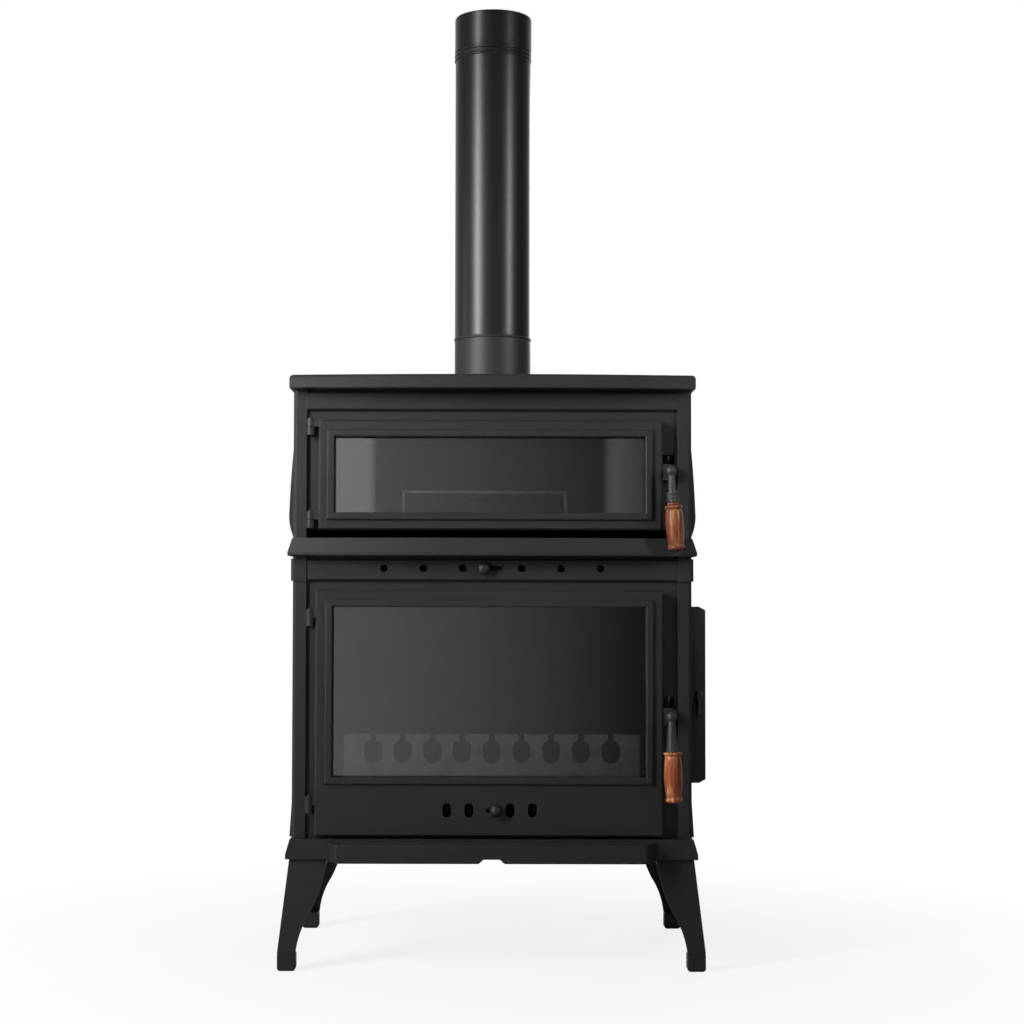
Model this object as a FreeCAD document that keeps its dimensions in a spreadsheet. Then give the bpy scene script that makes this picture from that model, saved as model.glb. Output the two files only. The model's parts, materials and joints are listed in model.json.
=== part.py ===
import FreeCAD, Part
import math
import os
import Sketcher

# A cast iron cookstove: a glazed firebox below, a glazed oven above, on four splayed legs.
# Millimetres. +X to the viewer's right, +Y to the back, +Z up, the floor under the middle at zero.

DOC = FreeCAD.newDocument("cookstove")

SIZES = {
    # Heights of the stack, from the floor up
    "foot_height": 28,
    "leg_height": 148,
    "base_height": 32,
    "firebox_height": 453,
    "mid_height": 29,
    "oven_height": 240,
    "top_height": 23,
    # Body castings
    "body_width": 644,
    "body_depth": 400,
    "side_wall": 10,
    "front_wall": 12,
    "back_wall": 12,
    "post_width": 22,
    "post_proud": 6,
    "post_chamfer": 5,
    "capital_proud": 3,
    "frieze_drop": 4,
    "frieze_height": 31,
    "cornice_height": 36,
    "frieze_proud": 7,
    "frieze_chamfer": 3,
    "oven_groove_height": 14,
    "oven_groove_depth": 9,
    "side_flare": 5,
    "side_flare_height": 80,
    "cornice_swell": 4,
    "oven_swell": 8,
    "oven_swell_rise": 44,
    "oven_swell_bow": 3,
    "oven_shoulder": 160,
    "oven_shoulder_bow": 1,
    # Plates
    "base_side_overhang": 8,
    "base_flare": 7,
    "base_front_overhang": 25,
    "mid_side_overhang": 7,
    "mid_lip": 6,
    "mid_slope": 7,
    "mid_under": 2,
    "mid_front_overhang": 24,
    "top_side_overhang": 5,
    "top_nose": 7,
    "top_under": 2,
    "top_front_overhang": 27,
    "plate_back_overhang": 12,
    "plate_bow": 18,
    "plate_lip": 8,
    "base_skin": 10,
    "base_rim": 12,
    "base_shoulder": 85,
    "gas_way_width": 400,
    "gas_way_depth": 60,
    # Ash lip
    "lip_width": 528,
    "lip_reach": 65,
    "lip_mitre": 18,
    "lip_rim": 9,
    "lip_dish": 9,
    "lip_height": 30,
    "lip_drop": 4,
    "lip_notch_width": 40,
    "lip_notch_taper": 7,
    "lip_notch_height": 7,
    # Legs and feet
    "leg_inset": 6,
    "leg_width": 60,
    "leg_knee_width": 44,
    "leg_knee_height": 62,
    "leg_bow": 4,
    "leg_wall": 9,
    "leg_flange": 9,
    "foot_width": 29,
    "foot_splay": 17,
    "foot_chamfer": 3,
    "leg_bolt_inset": 30,
    # Flue
    "flue_setback": 190,
    "flue_radius": 65,
    "flue_wall": 2.5,
    "collar_height": 87,
    "collar_wall": 6,
    "collar_flange": 17,
    "collar_flange_height": 10,
    "collar_bead": 2.5,
    "pipe_height": 506,
    "upper_pipe_height": 47,
    "pipe_tail": 40,
    "pipe_clearance": 0.4,
    # Fasteners
    "bolt_radius": 4,
    "bolt_head_radius": 7.5,
    "bolt_head_height": 6,
    "bolt_depth": 18,
    "bolt_clearance": 0.3,
    "tie_rod_radius": 4,
    "tie_rod_inset": 34,
    "tie_rod_setback": 30,
    # Doors
    "firebox_door_foot": 4,
    "firebox_door_head": 54,
    "firebox_hinge_gap": 2,
    "firebox_handle_gap": 10,
    "oven_door_foot": 13,
    "oven_door_head": 49,
    "oven_hinge_gap": 6,
    "oven_handle_gap": 11,
    "door_gap": 1,
    "door_thickness": 20,
    "door_corner": 5,
    "door_edge": 3,
    "door_land": 26,
    "door_stile": 28,
    "firebox_hinge_stile": 28,
    "oven_hinge_stile": 26,
    "firebox_bottom_rail": 95,
    "bead_width": 12,
    "bead_proud": 5,
    "bead_edge": 3,
    "glass_thickness": 4,
    "glass_lap": 8,
    "glass_clearance": 1,
    "glass_depth": 8,
    "clip_length": 30,
    "clip_width": 7,
    "rope_width": 7,
    "rope_depth": 5,
    "rope_inset": 9,
    "rope_clearance": 0.3,
    # Hinges
    "hinge_depth": 14,
    "knuckle_radius": 7,
    "knuckle_height": 13,
    "knuckle_gap": 0.5,
    "pin_radius": 3.5,
    "pin_tip": 3,
    "pin_clearance": 0.05,
    "hinge_web": 9,
    "firebox_hinge_drop": 46,
    "firebox_hinge_rise": 50,
    "oven_hinge_drop": 12,
    "oven_hinge_rise": 16,
    # Door handles
    "ear_clearance": 2,
    "handle_depth": 47,
    "firebox_handle_rise": 193,
    "oven_handle_rise": 94,
    "handle_ball": 8,
    "shaft_radius": 4,
    "shaft_clearance": 0.05,
    "ear_height": 26,
    "ear_thickness": 14,
    "tongue_thickness": 8,
    "tongue_reach": 24,
    "tongue_depth": 8,
    "tongue_clearance": 2.5,
    "latch_slot_width": 18,
    "latch_slot_high": 29,
    "latch_slot_low": 8,
    "neck_radius": 5,
    "firebox_neck_end_radius": 10,
    "firebox_neck_length": 55,
    "oven_neck_end_radius": 8,
    "oven_neck_length": 51,
    "grip_radius": 15,
    "grip_collar_radius": 12.5,
    "firebox_grip_length": 81,
    "oven_grip_length": 76,
    "grip_core_radius": 3.5,
    "grip_clearance": 0.2,
    "grip_cap_radius": 6,
    "grip_cap_height": 4,
    "firebox_handle_tilt": 2,
    "oven_handle_tilt": 4,
    # Air slides
    "air_hole_radius": 6,
    "air_hole_pitch": 63.5,
    "air_hole_drop": 19.5,
    "slide_thickness": 3,
    "slide_clearance": 0.4,
    "slide_margin": 7,
    "slide_guide": 6,
    "slide_lap": 3,
    "upper_slide_rest": -13.6,
    "upper_slide_travel": 27,
    "upper_slide_end": 29.4,
    "lower_slot_height": 23,
    "lower_slot_width": 14,
    "lower_slot_inner": 33,
    "lower_slot_outer": 68.5,
    "lower_slot_middle": -3.5,
    "lower_slot_rise": 42,
    "lower_slide_rest": 6.9,
    "lower_slide_back": 13,
    "lower_slide_on": 7,
    "lower_slide_end": 12.5,
    "lower_skin": 9,
    "lower_slide_margin": 4.5,
    "stem_radius": 3,
    "stem_clearance": 0.8,
    "knob_radius": 10,
    "knob_neck": 3,
    "knob_height": 14,
    # Inside the firebox
    "ledge_rise": 67,
    "ledge_width": 18,
    "ledge_thickness": 12,
    "grate_thickness": 14,
    "grate_clearance": 3,
    "grate_front": 38,
    "grate_slot": 12,
    "grate_border": 36,
    "liner_thickness": 20,
    "liner_gap": 2,
    "liner_front": 90,
    "liner_head": 72,
    "baffle_thickness": 12,
    "baffle_front": 110,
    "fence_front": 40,
    "fence_thickness": 9,
    "fence_width": 484,
    "fence_height": 83,
    "fence_hole_radius": 14.5,
    "fence_hole_drop": 24,
    "fence_hole_stretch": 9,
    "fence_slit": 9,
    "fence_end": 33.5,
    "pan_width": 420,
    "pan_front": 34,
    "pan_depth": 320,
    "pan_height": 52,
    "pan_wall": 2,
    "pan_flare": 14,
    # Oven inside
    "oven_liner_clearance": 28,
    "oven_liner_back_width": 424,
    "oven_liner_low": 24,
    "oven_liner_head": 51,
    "oven_liner_shrink": 12,
    "oven_liner_depth": 330,
    "oven_liner_wall": 2,
    "oven_liner_flange": 6,
    "rack_width": 270,
    "rack_offset": -13,
    "rack_front": 100,
    "rack_depth": 200,
    "rack_height": 58,
    "rack_wire": 2.4,
    "rack_rod": 1.8,
    "rack_knee": 2.9,
    # Side loading door
    "side_door_front": 75,
    "side_door_width": 245,
    "side_door_rise": 82,
    "side_door_head": 80,
    "side_door_thickness": 18,
    "side_door_gap": 1,
    "side_door_dish": 12,
    "side_door_bevel": 6,
    "side_door_hollow": 14,
    "side_door_land": 26,
    "side_hinge_setback": 11,
    "side_hinge_inset": 40,
    "side_latch_reach": 13,
    "side_latch_lever": 34,
    "side_latch_ball": 8,
    "side_latch_ear": 20,
    "side_hinge_out": 9,
    "side_latch_slot": 14,
    "side_latch_rise": 145,
    "side_tongue_reach": 20,
    "side_ear_thickness": 7,
    "side_latch_tip": 5,
    # Every through cut runs past the faces by this much
    "overrun": 2,
}

# Whole counts and unit steps
AIR_HOLE_STEPS = (-2.75, -1.75, -0.75, 0.75, 1.75, 2.75)
FENCE_HOLES = 9
GRATE_SLOTS = 20
RACK_RODS = 9
SIDES = (-1, 1)

SHEET = DOC.addObject("Spreadsheet::Sheet", "Sizes")
for row, (name, number) in enumerate(SIZES.items(), start=1):
    SHEET.set(f"A{row}", name)
    SHEET.set(f"B{row}", str(number))
    SHEET.setAlias(f"B{row}", name)
DOC.recompute()


class Length:
    """A size held both as the text of an expression on the sheet and as its present value."""

    def __init__(self, text, value):
        self.text = text
        self.value = value

    @staticmethod
    def of(number):
        return number if isinstance(number, Length) else Length(repr(number), number)

    def joined(self, sign, other, value):
        return Length(f"({self.text} {sign} {other.text})", value)

    def __add__(self, other):
        other = Length.of(other)
        return self.joined("+", other, self.value + other.value)

    def __sub__(self, other):
        other = Length.of(other)
        return self.joined("-", other, self.value - other.value)

    def __mul__(self, other):
        other = Length.of(other)
        return self.joined("*", other, self.value * other.value)

    def __truediv__(self, other):
        other = Length.of(other)
        return self.joined("/", other, self.value / other.value)

    def __neg__(self):
        return Length(f"(0 - {self.text})", -self.value)

    def __radd__(self, other):
        return Length.of(other) + self

    def __rsub__(self, other):
        return Length.of(other) - self

    def __rmul__(self, other):
        return Length.of(other) * self

    def root(self):
        return Length(f"sqrt({self.text})", math.sqrt(self.value))


class Cells:
    """The sheet's named cells, read as lengths: s.body_width and so on."""

    def __getattr__(self, name):
        return Length(f"Sizes.{name}", SIZES[name])


s = Cells()

# Drawing helpers

PIECES = {}
ZERO = Length.of(0)


def new_body(label):
    made = DOC.addObject("PartDesign::Body", label)
    made.Label = label
    return made


def keep(piece, label):
    """Name a finished piece of the stove."""
    piece.Label = label
    PIECES[label] = piece
    return piece


def hold(sketch, length, *constraint):
    """Add a dimension to a sketch and bind it to the sheet."""
    index = sketch.addConstraint(Sketcher.Constraint(*constraint, length.value))
    sketch.setExpression(f"Constraints[{index}]", length.text)


class Outline:
    """A closed outline through its corners; a bow swells one side outwards into an arc."""

    def __init__(self, *corners, bows=None):
        self.corners = [(Length.of(x), Length.of(y)) for x, y in corners]
        self.bows = bows or {}

    def side(self, sketch, start, end, bow):
        first = FreeCAD.Vector(start[0].value, start[1].value, 0)
        last = FreeCAD.Vector(end[0].value, end[1].value, 0)
        if bow is None:
            return sketch.addGeometry(Part.LineSegment(first, last)), 1, 2
        across = end[0] - start[0]
        up = end[1] - start[1]
        chord = (across * across + up * up).root()
        inward = bow - (chord * chord / 4 + bow * bow) / (bow * 2)
        centre_x = (start[0] + end[0]) / 2 + up / chord * inward
        centre_y = (start[1] + end[1]) / 2 - across / chord * inward
        along = (last - first).normalize()
        middle = (first + last) / 2 + FreeCAD.Vector(along.y, -along.x, 0) * bow.value
        outward = bow.value > 0
        ends = (first, middle, last) if outward else (last, middle, first)
        index = sketch.addGeometry(Part.Arc(*ends))
        if abs(up.value) > abs(across.value):
            hold(sketch, centre_x, "DistanceX", -1, 1, index, 3)
        else:
            hold(sketch, centre_y, "DistanceY", -1, 1, index, 3)
        return (index, 1, 2) if outward else (index, 2, 1)

    def draw(self, sketch):
        following = self.corners[1:] + self.corners[:1]
        sides = [
            self.side(sketch, start, end, self.bows.get(place))
            for place, (start, end) in enumerate(zip(self.corners, following))
        ]
        for (index, _, tail), (other, head, _) in zip(sides, sides[1:] + sides[:1]):
            sketch.addConstraint(Sketcher.Constraint("Coincident", index, tail, other, head))
        for (index, head, _), (x, y) in zip(sides, self.corners):
            hold(sketch, x, "DistanceX", -1, 1, index, head)
            hold(sketch, y, "DistanceY", -1, 1, index, head)


class Ring:
    """A circle."""

    def __init__(self, x, y, radius):
        self.x = Length.of(x)
        self.y = Length.of(y)
        self.radius = radius

    def draw(self, sketch):
        centre = FreeCAD.Vector(self.x.value, self.y.value, 0)
        index = sketch.addGeometry(Part.Circle(centre, FreeCAD.Vector(0, 0, 1), self.radius.value))
        hold(sketch, self.radius, "Radius", index)
        hold(sketch, self.x, "DistanceX", -1, 1, index, 3)
        hold(sketch, self.y, "DistanceY", -1, 1, index, 3)


def rectangle(left, right, low, high):
    return Outline((left, low), (right, low), (right, high), (left, high))


def widened(left, right, low, high, margin):
    return rectangle(left - margin, right + margin, low - margin, high + margin)


def slot_up(x, y, width, height):
    """An upright slot with round ends."""
    straight = (height - width) / 2
    ends = {1: width / 2, 3: width / 2}
    left = x - width / 2
    right = x + width / 2
    corners = ((right, y - straight), (right, y + straight), (left, y + straight), (left, y - straight))
    return Outline(*corners, bows=ends)


def slot_along(left, right, y, radius):
    """A level slot with round ends, between the centres of its ends."""
    corners = ((left, y - radius), (right, y - radius), (right, y + radius), (left, y + radius))
    return Outline(*corners, bows={1: radius, 3: radius})


def sketched(owner, plane_role, place, shapes):
    """Draw outlines on one of the body's own planes, set off to a place along that plane's axis."""
    made = owner.newObject("Sketcher::SketchObject", owner.Name + "_outline")
    plane = [item for item in owner.Origin.OriginFeatures if item.Role == plane_role][0]
    made.AttachmentSupport = (plane, "")
    made.MapMode = "FlatFace"
    offset = -place if plane_role == "XZ_Plane" else place
    made.AttachmentOffset = FreeCAD.Placement(FreeCAD.Vector(0, 0, offset.value), FreeCAD.Rotation())
    made.setExpression(".AttachmentOffset.Base.z", offset.text)
    for shape in shapes:
        shape.draw(made)
    return made


def pad(owner, plane_role, low, high, *shapes):
    """Raise outlines into a solid between two places along the plane's axis."""
    low = Length.of(low)
    high = Length.of(high)
    start = high if plane_role == "XZ_Plane" else low
    made_sketch = sketched(owner, plane_role, start, shapes)
    made = owner.newObject("PartDesign::Pad", owner.Name + "_pad")
    made.Profile = made_sketch
    made.setExpression("Length", (high - low).text)
    return made


def pocket(owner, plane_role, low, high, *shapes):
    """Cut outlines out of the solid between two places along the plane's axis."""
    low = Length.of(low)
    high = Length.of(high)
    start = low if plane_role == "XZ_Plane" else high
    made_sketch = sketched(owner, plane_role, start, shapes)
    DOC.recompute()
    before = owner.Tip.Shape.Volume
    made = owner.newObject("PartDesign::Pocket", owner.Name + "_pocket")
    made.Profile = made_sketch
    made.setExpression("Length", (high - low).text)
    DOC.recompute()
    if made.Shape.Volume >= before:
        raise RuntimeError(f"{owner.Label}: a pocket cut nothing")
    return made


def loft(owner, plane_role, *sections, cut=False):
    """Join outlines at several places along the plane's axis with straight-sided walls."""
    sketches = [sketched(owner, plane_role, Length.of(place), [shape]) for place, shape in sections]
    kind = "PartDesign::SubtractiveLoft" if cut else "PartDesign::AdditiveLoft"
    made = owner.newObject(kind, owner.Name + "_loft")
    made.Profile = sketches[0]
    made.Sections = sketches[1:]
    made.Ruled = True
    return made


def turned(owner, shape, at=ZERO):
    """Turn an outline of radius and height about an upright line at a place along Y."""
    made_sketch = sketched(owner, "XZ_Plane", at, [shape])
    made = owner.newObject("PartDesign::Revolution", owner.Name + "_turned")
    made.Profile = made_sketch
    made.ReferenceAxis = (made_sketch, ["V_Axis"])
    made.Angle = 360
    return made


def cap_bow(radius, height):
    """How far a round cap of this radius and height stands out from its own chord."""
    chord = radius * radius + height * height
    sphere = chord / (height * 2)
    return sphere - (sphere * sphere - chord / 4).root()


def soften(owner, kind, size, axis, place):
    """Round or bevel every edge that lies in the plane at a place along an axis."""
    DOC.recompute()
    base = owner.Tip
    near = 1e-4
    names = []
    for number, edge in enumerate(base.Shape.Edges, start=1):
        box = edge.BoundBox
        low = {"x": box.XMin, "y": box.YMin, "z": box.ZMin}[axis]
        high = {"x": box.XMax, "y": box.YMax, "z": box.ZMax}[axis]
        if abs(low - place.value) < near and abs(high - place.value) < near:
            names.append(f"Edge{number}")
    made = owner.newObject("PartDesign::" + kind, owner.Name + "_edge")
    made.Base = (base, names)
    made.setExpression("Radius" if kind == "Fillet" else "Size", size.text)
    return made


def placed(item, x=0, y=0, z=0, turn=None):
    """Set a piece in the stove's frame, turned first where it isn't upright."""
    x, y, z = Length.of(x), Length.of(y), Length.of(z)
    rotation = turn or FreeCAD.Rotation()
    item.Placement = FreeCAD.Placement(FreeCAD.Vector(x.value, y.value, z.value), rotation)
    for axis, length in (("x", x), ("y", y), ("z", z)):
        item.setExpression(".Placement.Base." + axis, length.text)
    return item


def mirrored(source, label, axis, place=ZERO):
    """The mirror image of a piece across the plane at a place along X or Y."""
    made = DOC.addObject("Part::Mirroring", label)
    made.Source = source
    made.Normal = FreeCAD.Vector(1, 0, 0) if axis == "x" else FreeCAD.Vector(0, 1, 0)
    made.setExpression(".Base." + axis, place.text)
    return made


def group(label, items):
    made = DOC.addObject("Part::Compound", label)
    made.Links = items
    return keep(made, label)


def boolean(kind, label, base, tool):
    made = DOC.addObject("Part::" + kind, label)
    made.Base = base
    made.Tool = tool
    return made


def hexagon(x, y, radius):
    turns = [math.radians(60 * step) for step in range(6)]
    return Outline(*[(x + radius * math.cos(turn), y + radius * math.sin(turn)) for turn in turns])


FORWARD = FreeCAD.Rotation(FreeCAD.Vector(1, 0, 0), 90)
RIGHTWARD = FreeCAD.Rotation(FreeCAD.Vector(0, 1, 0), 90)

# Reference planes and levels

half = s.body_width / 2
front = (s.lip_reach - s.body_depth - s.plate_back_overhang + s.leg_inset - s.foot_splay) / 2
rear = front + s.body_depth
inner_front = front + s.front_wall
inner_rear = rear - s.back_wall
base_front = front - s.base_front_overhang
base_rear = rear + s.plate_back_overhang
base_middle = (base_front + base_rear) / 2
base_wide = half + s.base_side_overhang
z_leg = s.foot_height
z_base = z_leg + s.leg_height
z_firebox = z_base + s.base_height
z_mid = z_firebox + s.firebox_height
z_oven = z_mid + s.mid_height
z_top = z_oven + s.oven_height
z_deck = z_top + s.top_height
flue_middle = front + s.flue_setback


# Base, legs and plates

def bowed_plan(wide, near, far):
    """A plate seen from above, its front edge bowed towards the cook."""
    corners = ((-wide, near), (wide, near), (wide, far), (-wide, far))
    return Outline(*corners, bows={0: s.plate_bow})


leg_out = base_wide - s.leg_inset
leg_ahead = base_front + s.leg_inset
bolt_x = leg_out - s.leg_bolt_inset
bolt_y = leg_ahead + s.leg_bolt_inset
bolt_rear_y = base_rear - s.leg_inset - s.leg_bolt_inset


def base_plate():
    """A tray whose upright lip turns into a bevel that draws in towards the top, hollow underneath."""
    plate = keep(new_body("base_plate"), "base_plate")
    bottom = rectangle(-base_wide, base_wide, base_front, base_rear)
    narrow = base_wide - s.base_flare
    top = rectangle(-narrow, narrow, base_front, base_rear - s.base_flare)
    loft(plate, "XY_Plane", (z_base, bottom), (z_base + s.plate_lip, bottom), (z_firebox, top))
    recess = base_wide - s.base_shoulder
    hollow = rectangle(-recess, recess, base_front + s.base_rim, base_rear - s.base_rim)
    pocket(plate, "XY_Plane", z_base, z_firebox - s.base_skin, hollow)
    radius = s.bolt_radius + s.bolt_clearance
    holes = [Ring(side * bolt_x, y, radius) for side in SIDES for y in (bolt_y, bolt_rear_y)]
    pocket(plate, "XY_Plane", z_base, z_base + s.bolt_depth + s.bolt_clearance, *holes)


def mid_plate():
    """The shelf between firebox and oven, whose edge slopes outwards to an upright lip at its foot."""
    plate = keep(new_body("mid_plate"), "mid_plate")
    out = half + s.mid_side_overhang
    near = front - s.mid_front_overhang
    slope = s.mid_slope
    foot = bowed_plan(out, near, base_rear)
    head = bowed_plan(out - slope, near + slope, base_rear - slope)
    brow = z_mid + s.mid_lip
    pad(plate, "XY_Plane", z_mid, brow, foot)
    soften(plate, "Fillet", s.mid_under, "z", z_mid)
    loft(plate, "XY_Plane", (brow, foot), (z_oven, head))
    wide = s.gas_way_width / 2
    way = rectangle(-wide, wide, inner_rear - s.gas_way_depth, inner_rear)
    pocket(plate, "XY_Plane", z_mid - s.overrun, z_oven + s.overrun, way)


def top_plate():
    """The cooking plate, its edge rounded above and below."""
    plate = keep(new_body("top_plate"), "top_plate")
    plan = bowed_plan(half + s.top_side_overhang, front - s.top_front_overhang, base_rear)
    pad(plate, "XY_Plane", z_top, z_deck, plan)
    soften(plate, "Fillet", s.top_nose, "z", z_deck)
    soften(plate, "Fillet", s.top_under, "z", z_top)
    way = Ring(0, flue_middle, s.flue_radius - s.collar_wall)
    pocket(plate, "XY_Plane", z_top - s.overrun, z_deck + s.overrun, way)
    radius = s.bolt_radius + s.bolt_clearance
    holes = [Ring(x, y, radius) for x, y in collar_bolt_places()]
    pocket(plate, "XY_Plane", z_top - s.overrun, z_deck + s.overrun, *holes)


def ash_lip():
    lip = new_body("ash_lip")
    wide = s.lip_width / 2
    tip = front - s.lip_reach
    high = z_firebox - s.lip_drop
    low = high - s.lip_height
    ends = wide - s.lip_mitre
    plan = Outline((-ends, tip), (ends, tip), (wide, base_front), (-wide, base_front))
    pad(lip, "XY_Plane", low, high, plan)
    rim = s.lip_rim
    inner = wide - rim - rim / 2
    dish = Outline(
        (-inner + s.lip_mitre, tip + rim), (inner - s.lip_mitre, tip + rim),
        (inner, base_front - rim / 2), (-inner, base_front - rim / 2),
    )
    pocket(lip, "XY_Plane", high - s.lip_dish, high, dish)
    foot = s.lip_notch_width / 2
    notch = Outline((-foot, low), (foot, low), (foot - s.lip_notch_taper, low + s.lip_notch_height),
                    (-(foot - s.lip_notch_taper), low + s.lip_notch_height))
    pocket(lip, "XZ_Plane", tip, base_front, notch)
    keep(lip, "ash_lip")


def leg_profile(outer, sign):
    """One face of a leg, straight outside and an ogee inside; sign points from the outside inwards."""
    toe = outer - s.foot_splay * sign
    knee_out = toe + s.foot_splay * s.leg_knee_height / s.leg_height * sign
    knee = knee_out + s.leg_knee_width * sign
    heel = toe + s.foot_width * sign
    corners = (
        (toe, z_leg), (heel, z_leg), (knee, z_leg + s.leg_knee_height),
        (outer + s.leg_width * sign, z_base), (outer, z_base),
    )
    return Outline(*corners, bows={1: -s.leg_bow, 2: s.leg_bow})


def legs():
    out = -leg_out
    toe_x = out - s.foot_splay
    toe_y = leg_ahead - s.foot_splay
    facing = new_body("leg_front_face")
    pad(facing, "XZ_Plane", toe_y, leg_ahead + s.leg_width, leg_profile(out, 1))
    flank = new_body("leg_side_face")
    pad(flank, "YZ_Plane", toe_x, out + s.leg_width, leg_profile(leg_ahead, 1))
    hollow = new_body("leg_hollow")
    reach = s.leg_width + s.overrun
    deep = z_base - s.leg_flange
    toe = rectangle(toe_x + s.leg_wall, toe_x + reach, toe_y + s.leg_wall, toe_y + reach)
    top = rectangle(out + s.leg_wall, out + reach, leg_ahead + s.leg_wall, leg_ahead + reach)
    loft(hollow, "XY_Plane", (z_leg, toe), (deep, top))
    hole = Ring(-bolt_x, bolt_y, s.bolt_radius + s.bolt_clearance)
    pad(hollow, "XY_Plane", deep - s.overrun, z_base + s.overrun, hole)
    block = boolean("Common", "leg_block", facing, flank)
    leg = keep(boolean("Cut", "front_left_leg", block, hollow), "front_left_leg")
    keep(mirrored(leg, "front_right_leg", "x"), "front_right_leg")
    back = keep(mirrored(leg, "rear_left_leg", "y", base_middle), "rear_left_leg")
    keep(mirrored(back, "rear_right_leg", "x"), "rear_right_leg")


def four_corners(label, first):
    """A piece at the front left corner and its three mirror images, as one group."""
    right = mirrored(first, label + "_right", "x")
    backs = [mirrored(item, label + "_back", "y", base_middle) for item in (first, right)]
    return group(label, [first, right] + backs)


def foot_pads():
    foot = new_body("foot_pad")
    x = -leg_out - s.foot_splay
    y = leg_ahead - s.foot_splay
    full = rectangle(x, x + s.foot_width, y, y + s.foot_width)
    sole = widened(x, x + s.foot_width, y, y + s.foot_width, -s.foot_chamfer)
    loft(foot, "XY_Plane", (0, sole), (s.foot_chamfer, full), (s.foot_height, full))
    four_corners("foot_pads", foot)


def bolt(label, x, y, seat, length, downward):
    """A hexagon bolt whose head bears on a seat; the shank runs up or down from there."""
    made = new_body(label)
    head = hexagon(x, y, s.bolt_head_radius)
    shank = Ring(x, y, s.bolt_radius)
    if downward:
        pad(made, "XY_Plane", seat, seat + s.bolt_head_height, head)
        pad(made, "XY_Plane", seat - length, seat, shank)
    else:
        pad(made, "XY_Plane", seat - s.bolt_head_height, seat, head)
        pad(made, "XY_Plane", seat, seat + length, shank)
    return made


def leg_bolts():
    seat = z_base - s.leg_flange
    four_corners("leg_bolts", bolt("leg_bolt", -bolt_x, bolt_y, seat, s.leg_flange + s.bolt_depth, False))


# Front castings

def posts(casting, low, high, swell=ZERO):
    """Square posts at both edges of a front casting, bevelled at their outer front corners."""
    proud = front - s.post_proud - swell
    bevel = s.post_chamfer
    inner = half - s.post_width
    outer = half + swell
    for side in SIDES:
        corners = [
            (side * inner, inner_front), (side * inner, proud), (side * (outer - bevel), proud),
            (side * outer, proud + bevel), (side * outer, inner_front),
        ]
        pad(casting, "XY_Plane", low, high, Outline(*(corners if side > 0 else corners[::-1])))


def frieze(casting, low, high):
    """The raised band between the posts, bevelled along its edges."""
    wide = half - s.post_width
    bevel = s.frieze_chamfer
    face = front - s.frieze_proud
    section = Outline(
        (face, low + bevel), (face + bevel, low), (front, low),
        (front, high), (face + bevel, high), (face, high - bevel),
    )
    pad(casting, "YZ_Plane", -wide, wide, section)


def hinge_lug(casting, seat):
    """A fixed knuckle under the door's own, on a web from the casting's face."""
    axis_y = front - s.hinge_depth
    low = seat - s.knuckle_height
    x = -hinge_line
    web = rectangle(x - s.hinge_web / 2, x + s.hinge_web / 2, axis_y, front)
    pad(casting, "XY_Plane", low, seat, web)
    pad(casting, "XY_Plane", low, seat, Ring(x, axis_y, s.knuckle_radius))
    bore = Ring(x, axis_y, s.pin_radius + s.pin_clearance)
    pocket(casting, "XY_Plane", low - s.overrun, seat + s.overrun, bore)


def latch_slot(casting, height):
    wide = s.latch_slot_width / 2
    shape = rectangle(handle_line - wide, handle_line + wide, height - s.latch_slot_low,
                      height + s.latch_slot_high)
    pocket(casting, "XZ_Plane", front - s.overrun, inner_front + s.overrun, shape)


def mouth(casting, left, right, low, high):
    land = -s.door_land
    pocket(casting, "XZ_Plane", front - s.overrun, inner_front + s.overrun,
           widened(-left, right, low, high, land))


hinge_line = half - s.post_width - s.knuckle_radius
handle_line = half - s.post_width - s.ear_height / 2 - s.ear_clearance
firebox_door_low = z_firebox + s.firebox_door_foot
firebox_door_high = z_mid - s.firebox_door_head
firebox_door_left = hinge_line - s.knuckle_radius - s.firebox_hinge_gap
firebox_door_right = handle_line - s.firebox_handle_gap
oven_door_low = z_oven + s.oven_door_foot
oven_door_high = z_top - s.oven_door_head
oven_door_left = hinge_line - s.knuckle_radius - s.oven_hinge_gap
oven_door_right = handle_line - s.oven_handle_gap
upper_air_height = z_mid - s.air_hole_drop
stem_way = s.stem_radius + s.stem_clearance


def firebox_front():
    casting = new_body("firebox_front")
    pad(casting, "XZ_Plane", front, inner_front, rectangle(-half, half, z_firebox, z_mid))
    mouth(casting, firebox_door_left, firebox_door_right, firebox_door_low, firebox_door_high)
    posts(casting, z_firebox, z_mid)
    frieze(casting, cornice_low, cornice_high)
    posts(casting, cornice_low, cornice_high, s.capital_proud)
    deep = front - s.frieze_proud - s.overrun
    holes = [Ring(step * s.air_hole_pitch, upper_air_height, s.air_hole_radius) for step in AIR_HOLE_STEPS]
    last = s.upper_slide_rest + s.upper_slide_travel
    stem = slot_along(s.upper_slide_rest, last, upper_air_height, stem_way)
    pocket(casting, "XZ_Plane", deep, inner_front + s.overrun, stem, *holes)
    latch_slot(casting, FIREBOX_DOOR.handle)
    for seat in FIREBOX_DOOR.hinges:
        hinge_lug(casting, seat)
    keep(casting, "firebox_front")


def oven_front():
    casting = new_body("oven_front")
    pad(casting, "XZ_Plane", front, inner_front, rectangle(-half, half, z_oven, z_top))
    mouth(casting, oven_door_left, oven_door_right, oven_door_low, oven_door_high)
    posts(casting, z_oven, z_top)
    high = z_top - s.frieze_drop / 2
    frieze(casting, high - s.frieze_height, high)
    latch_slot(casting, OVEN_DOOR.handle)
    inner = half - s.post_width
    groove = rectangle(-inner, inner, z_oven, z_oven + s.oven_groove_height)
    pocket(casting, "XZ_Plane", front, front + s.oven_groove_depth, groove)
    for seat in OVEN_DOOR.hinges:
        hinge_lug(casting, seat)
    keep(casting, "oven_front")


# Sides and backs

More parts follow.
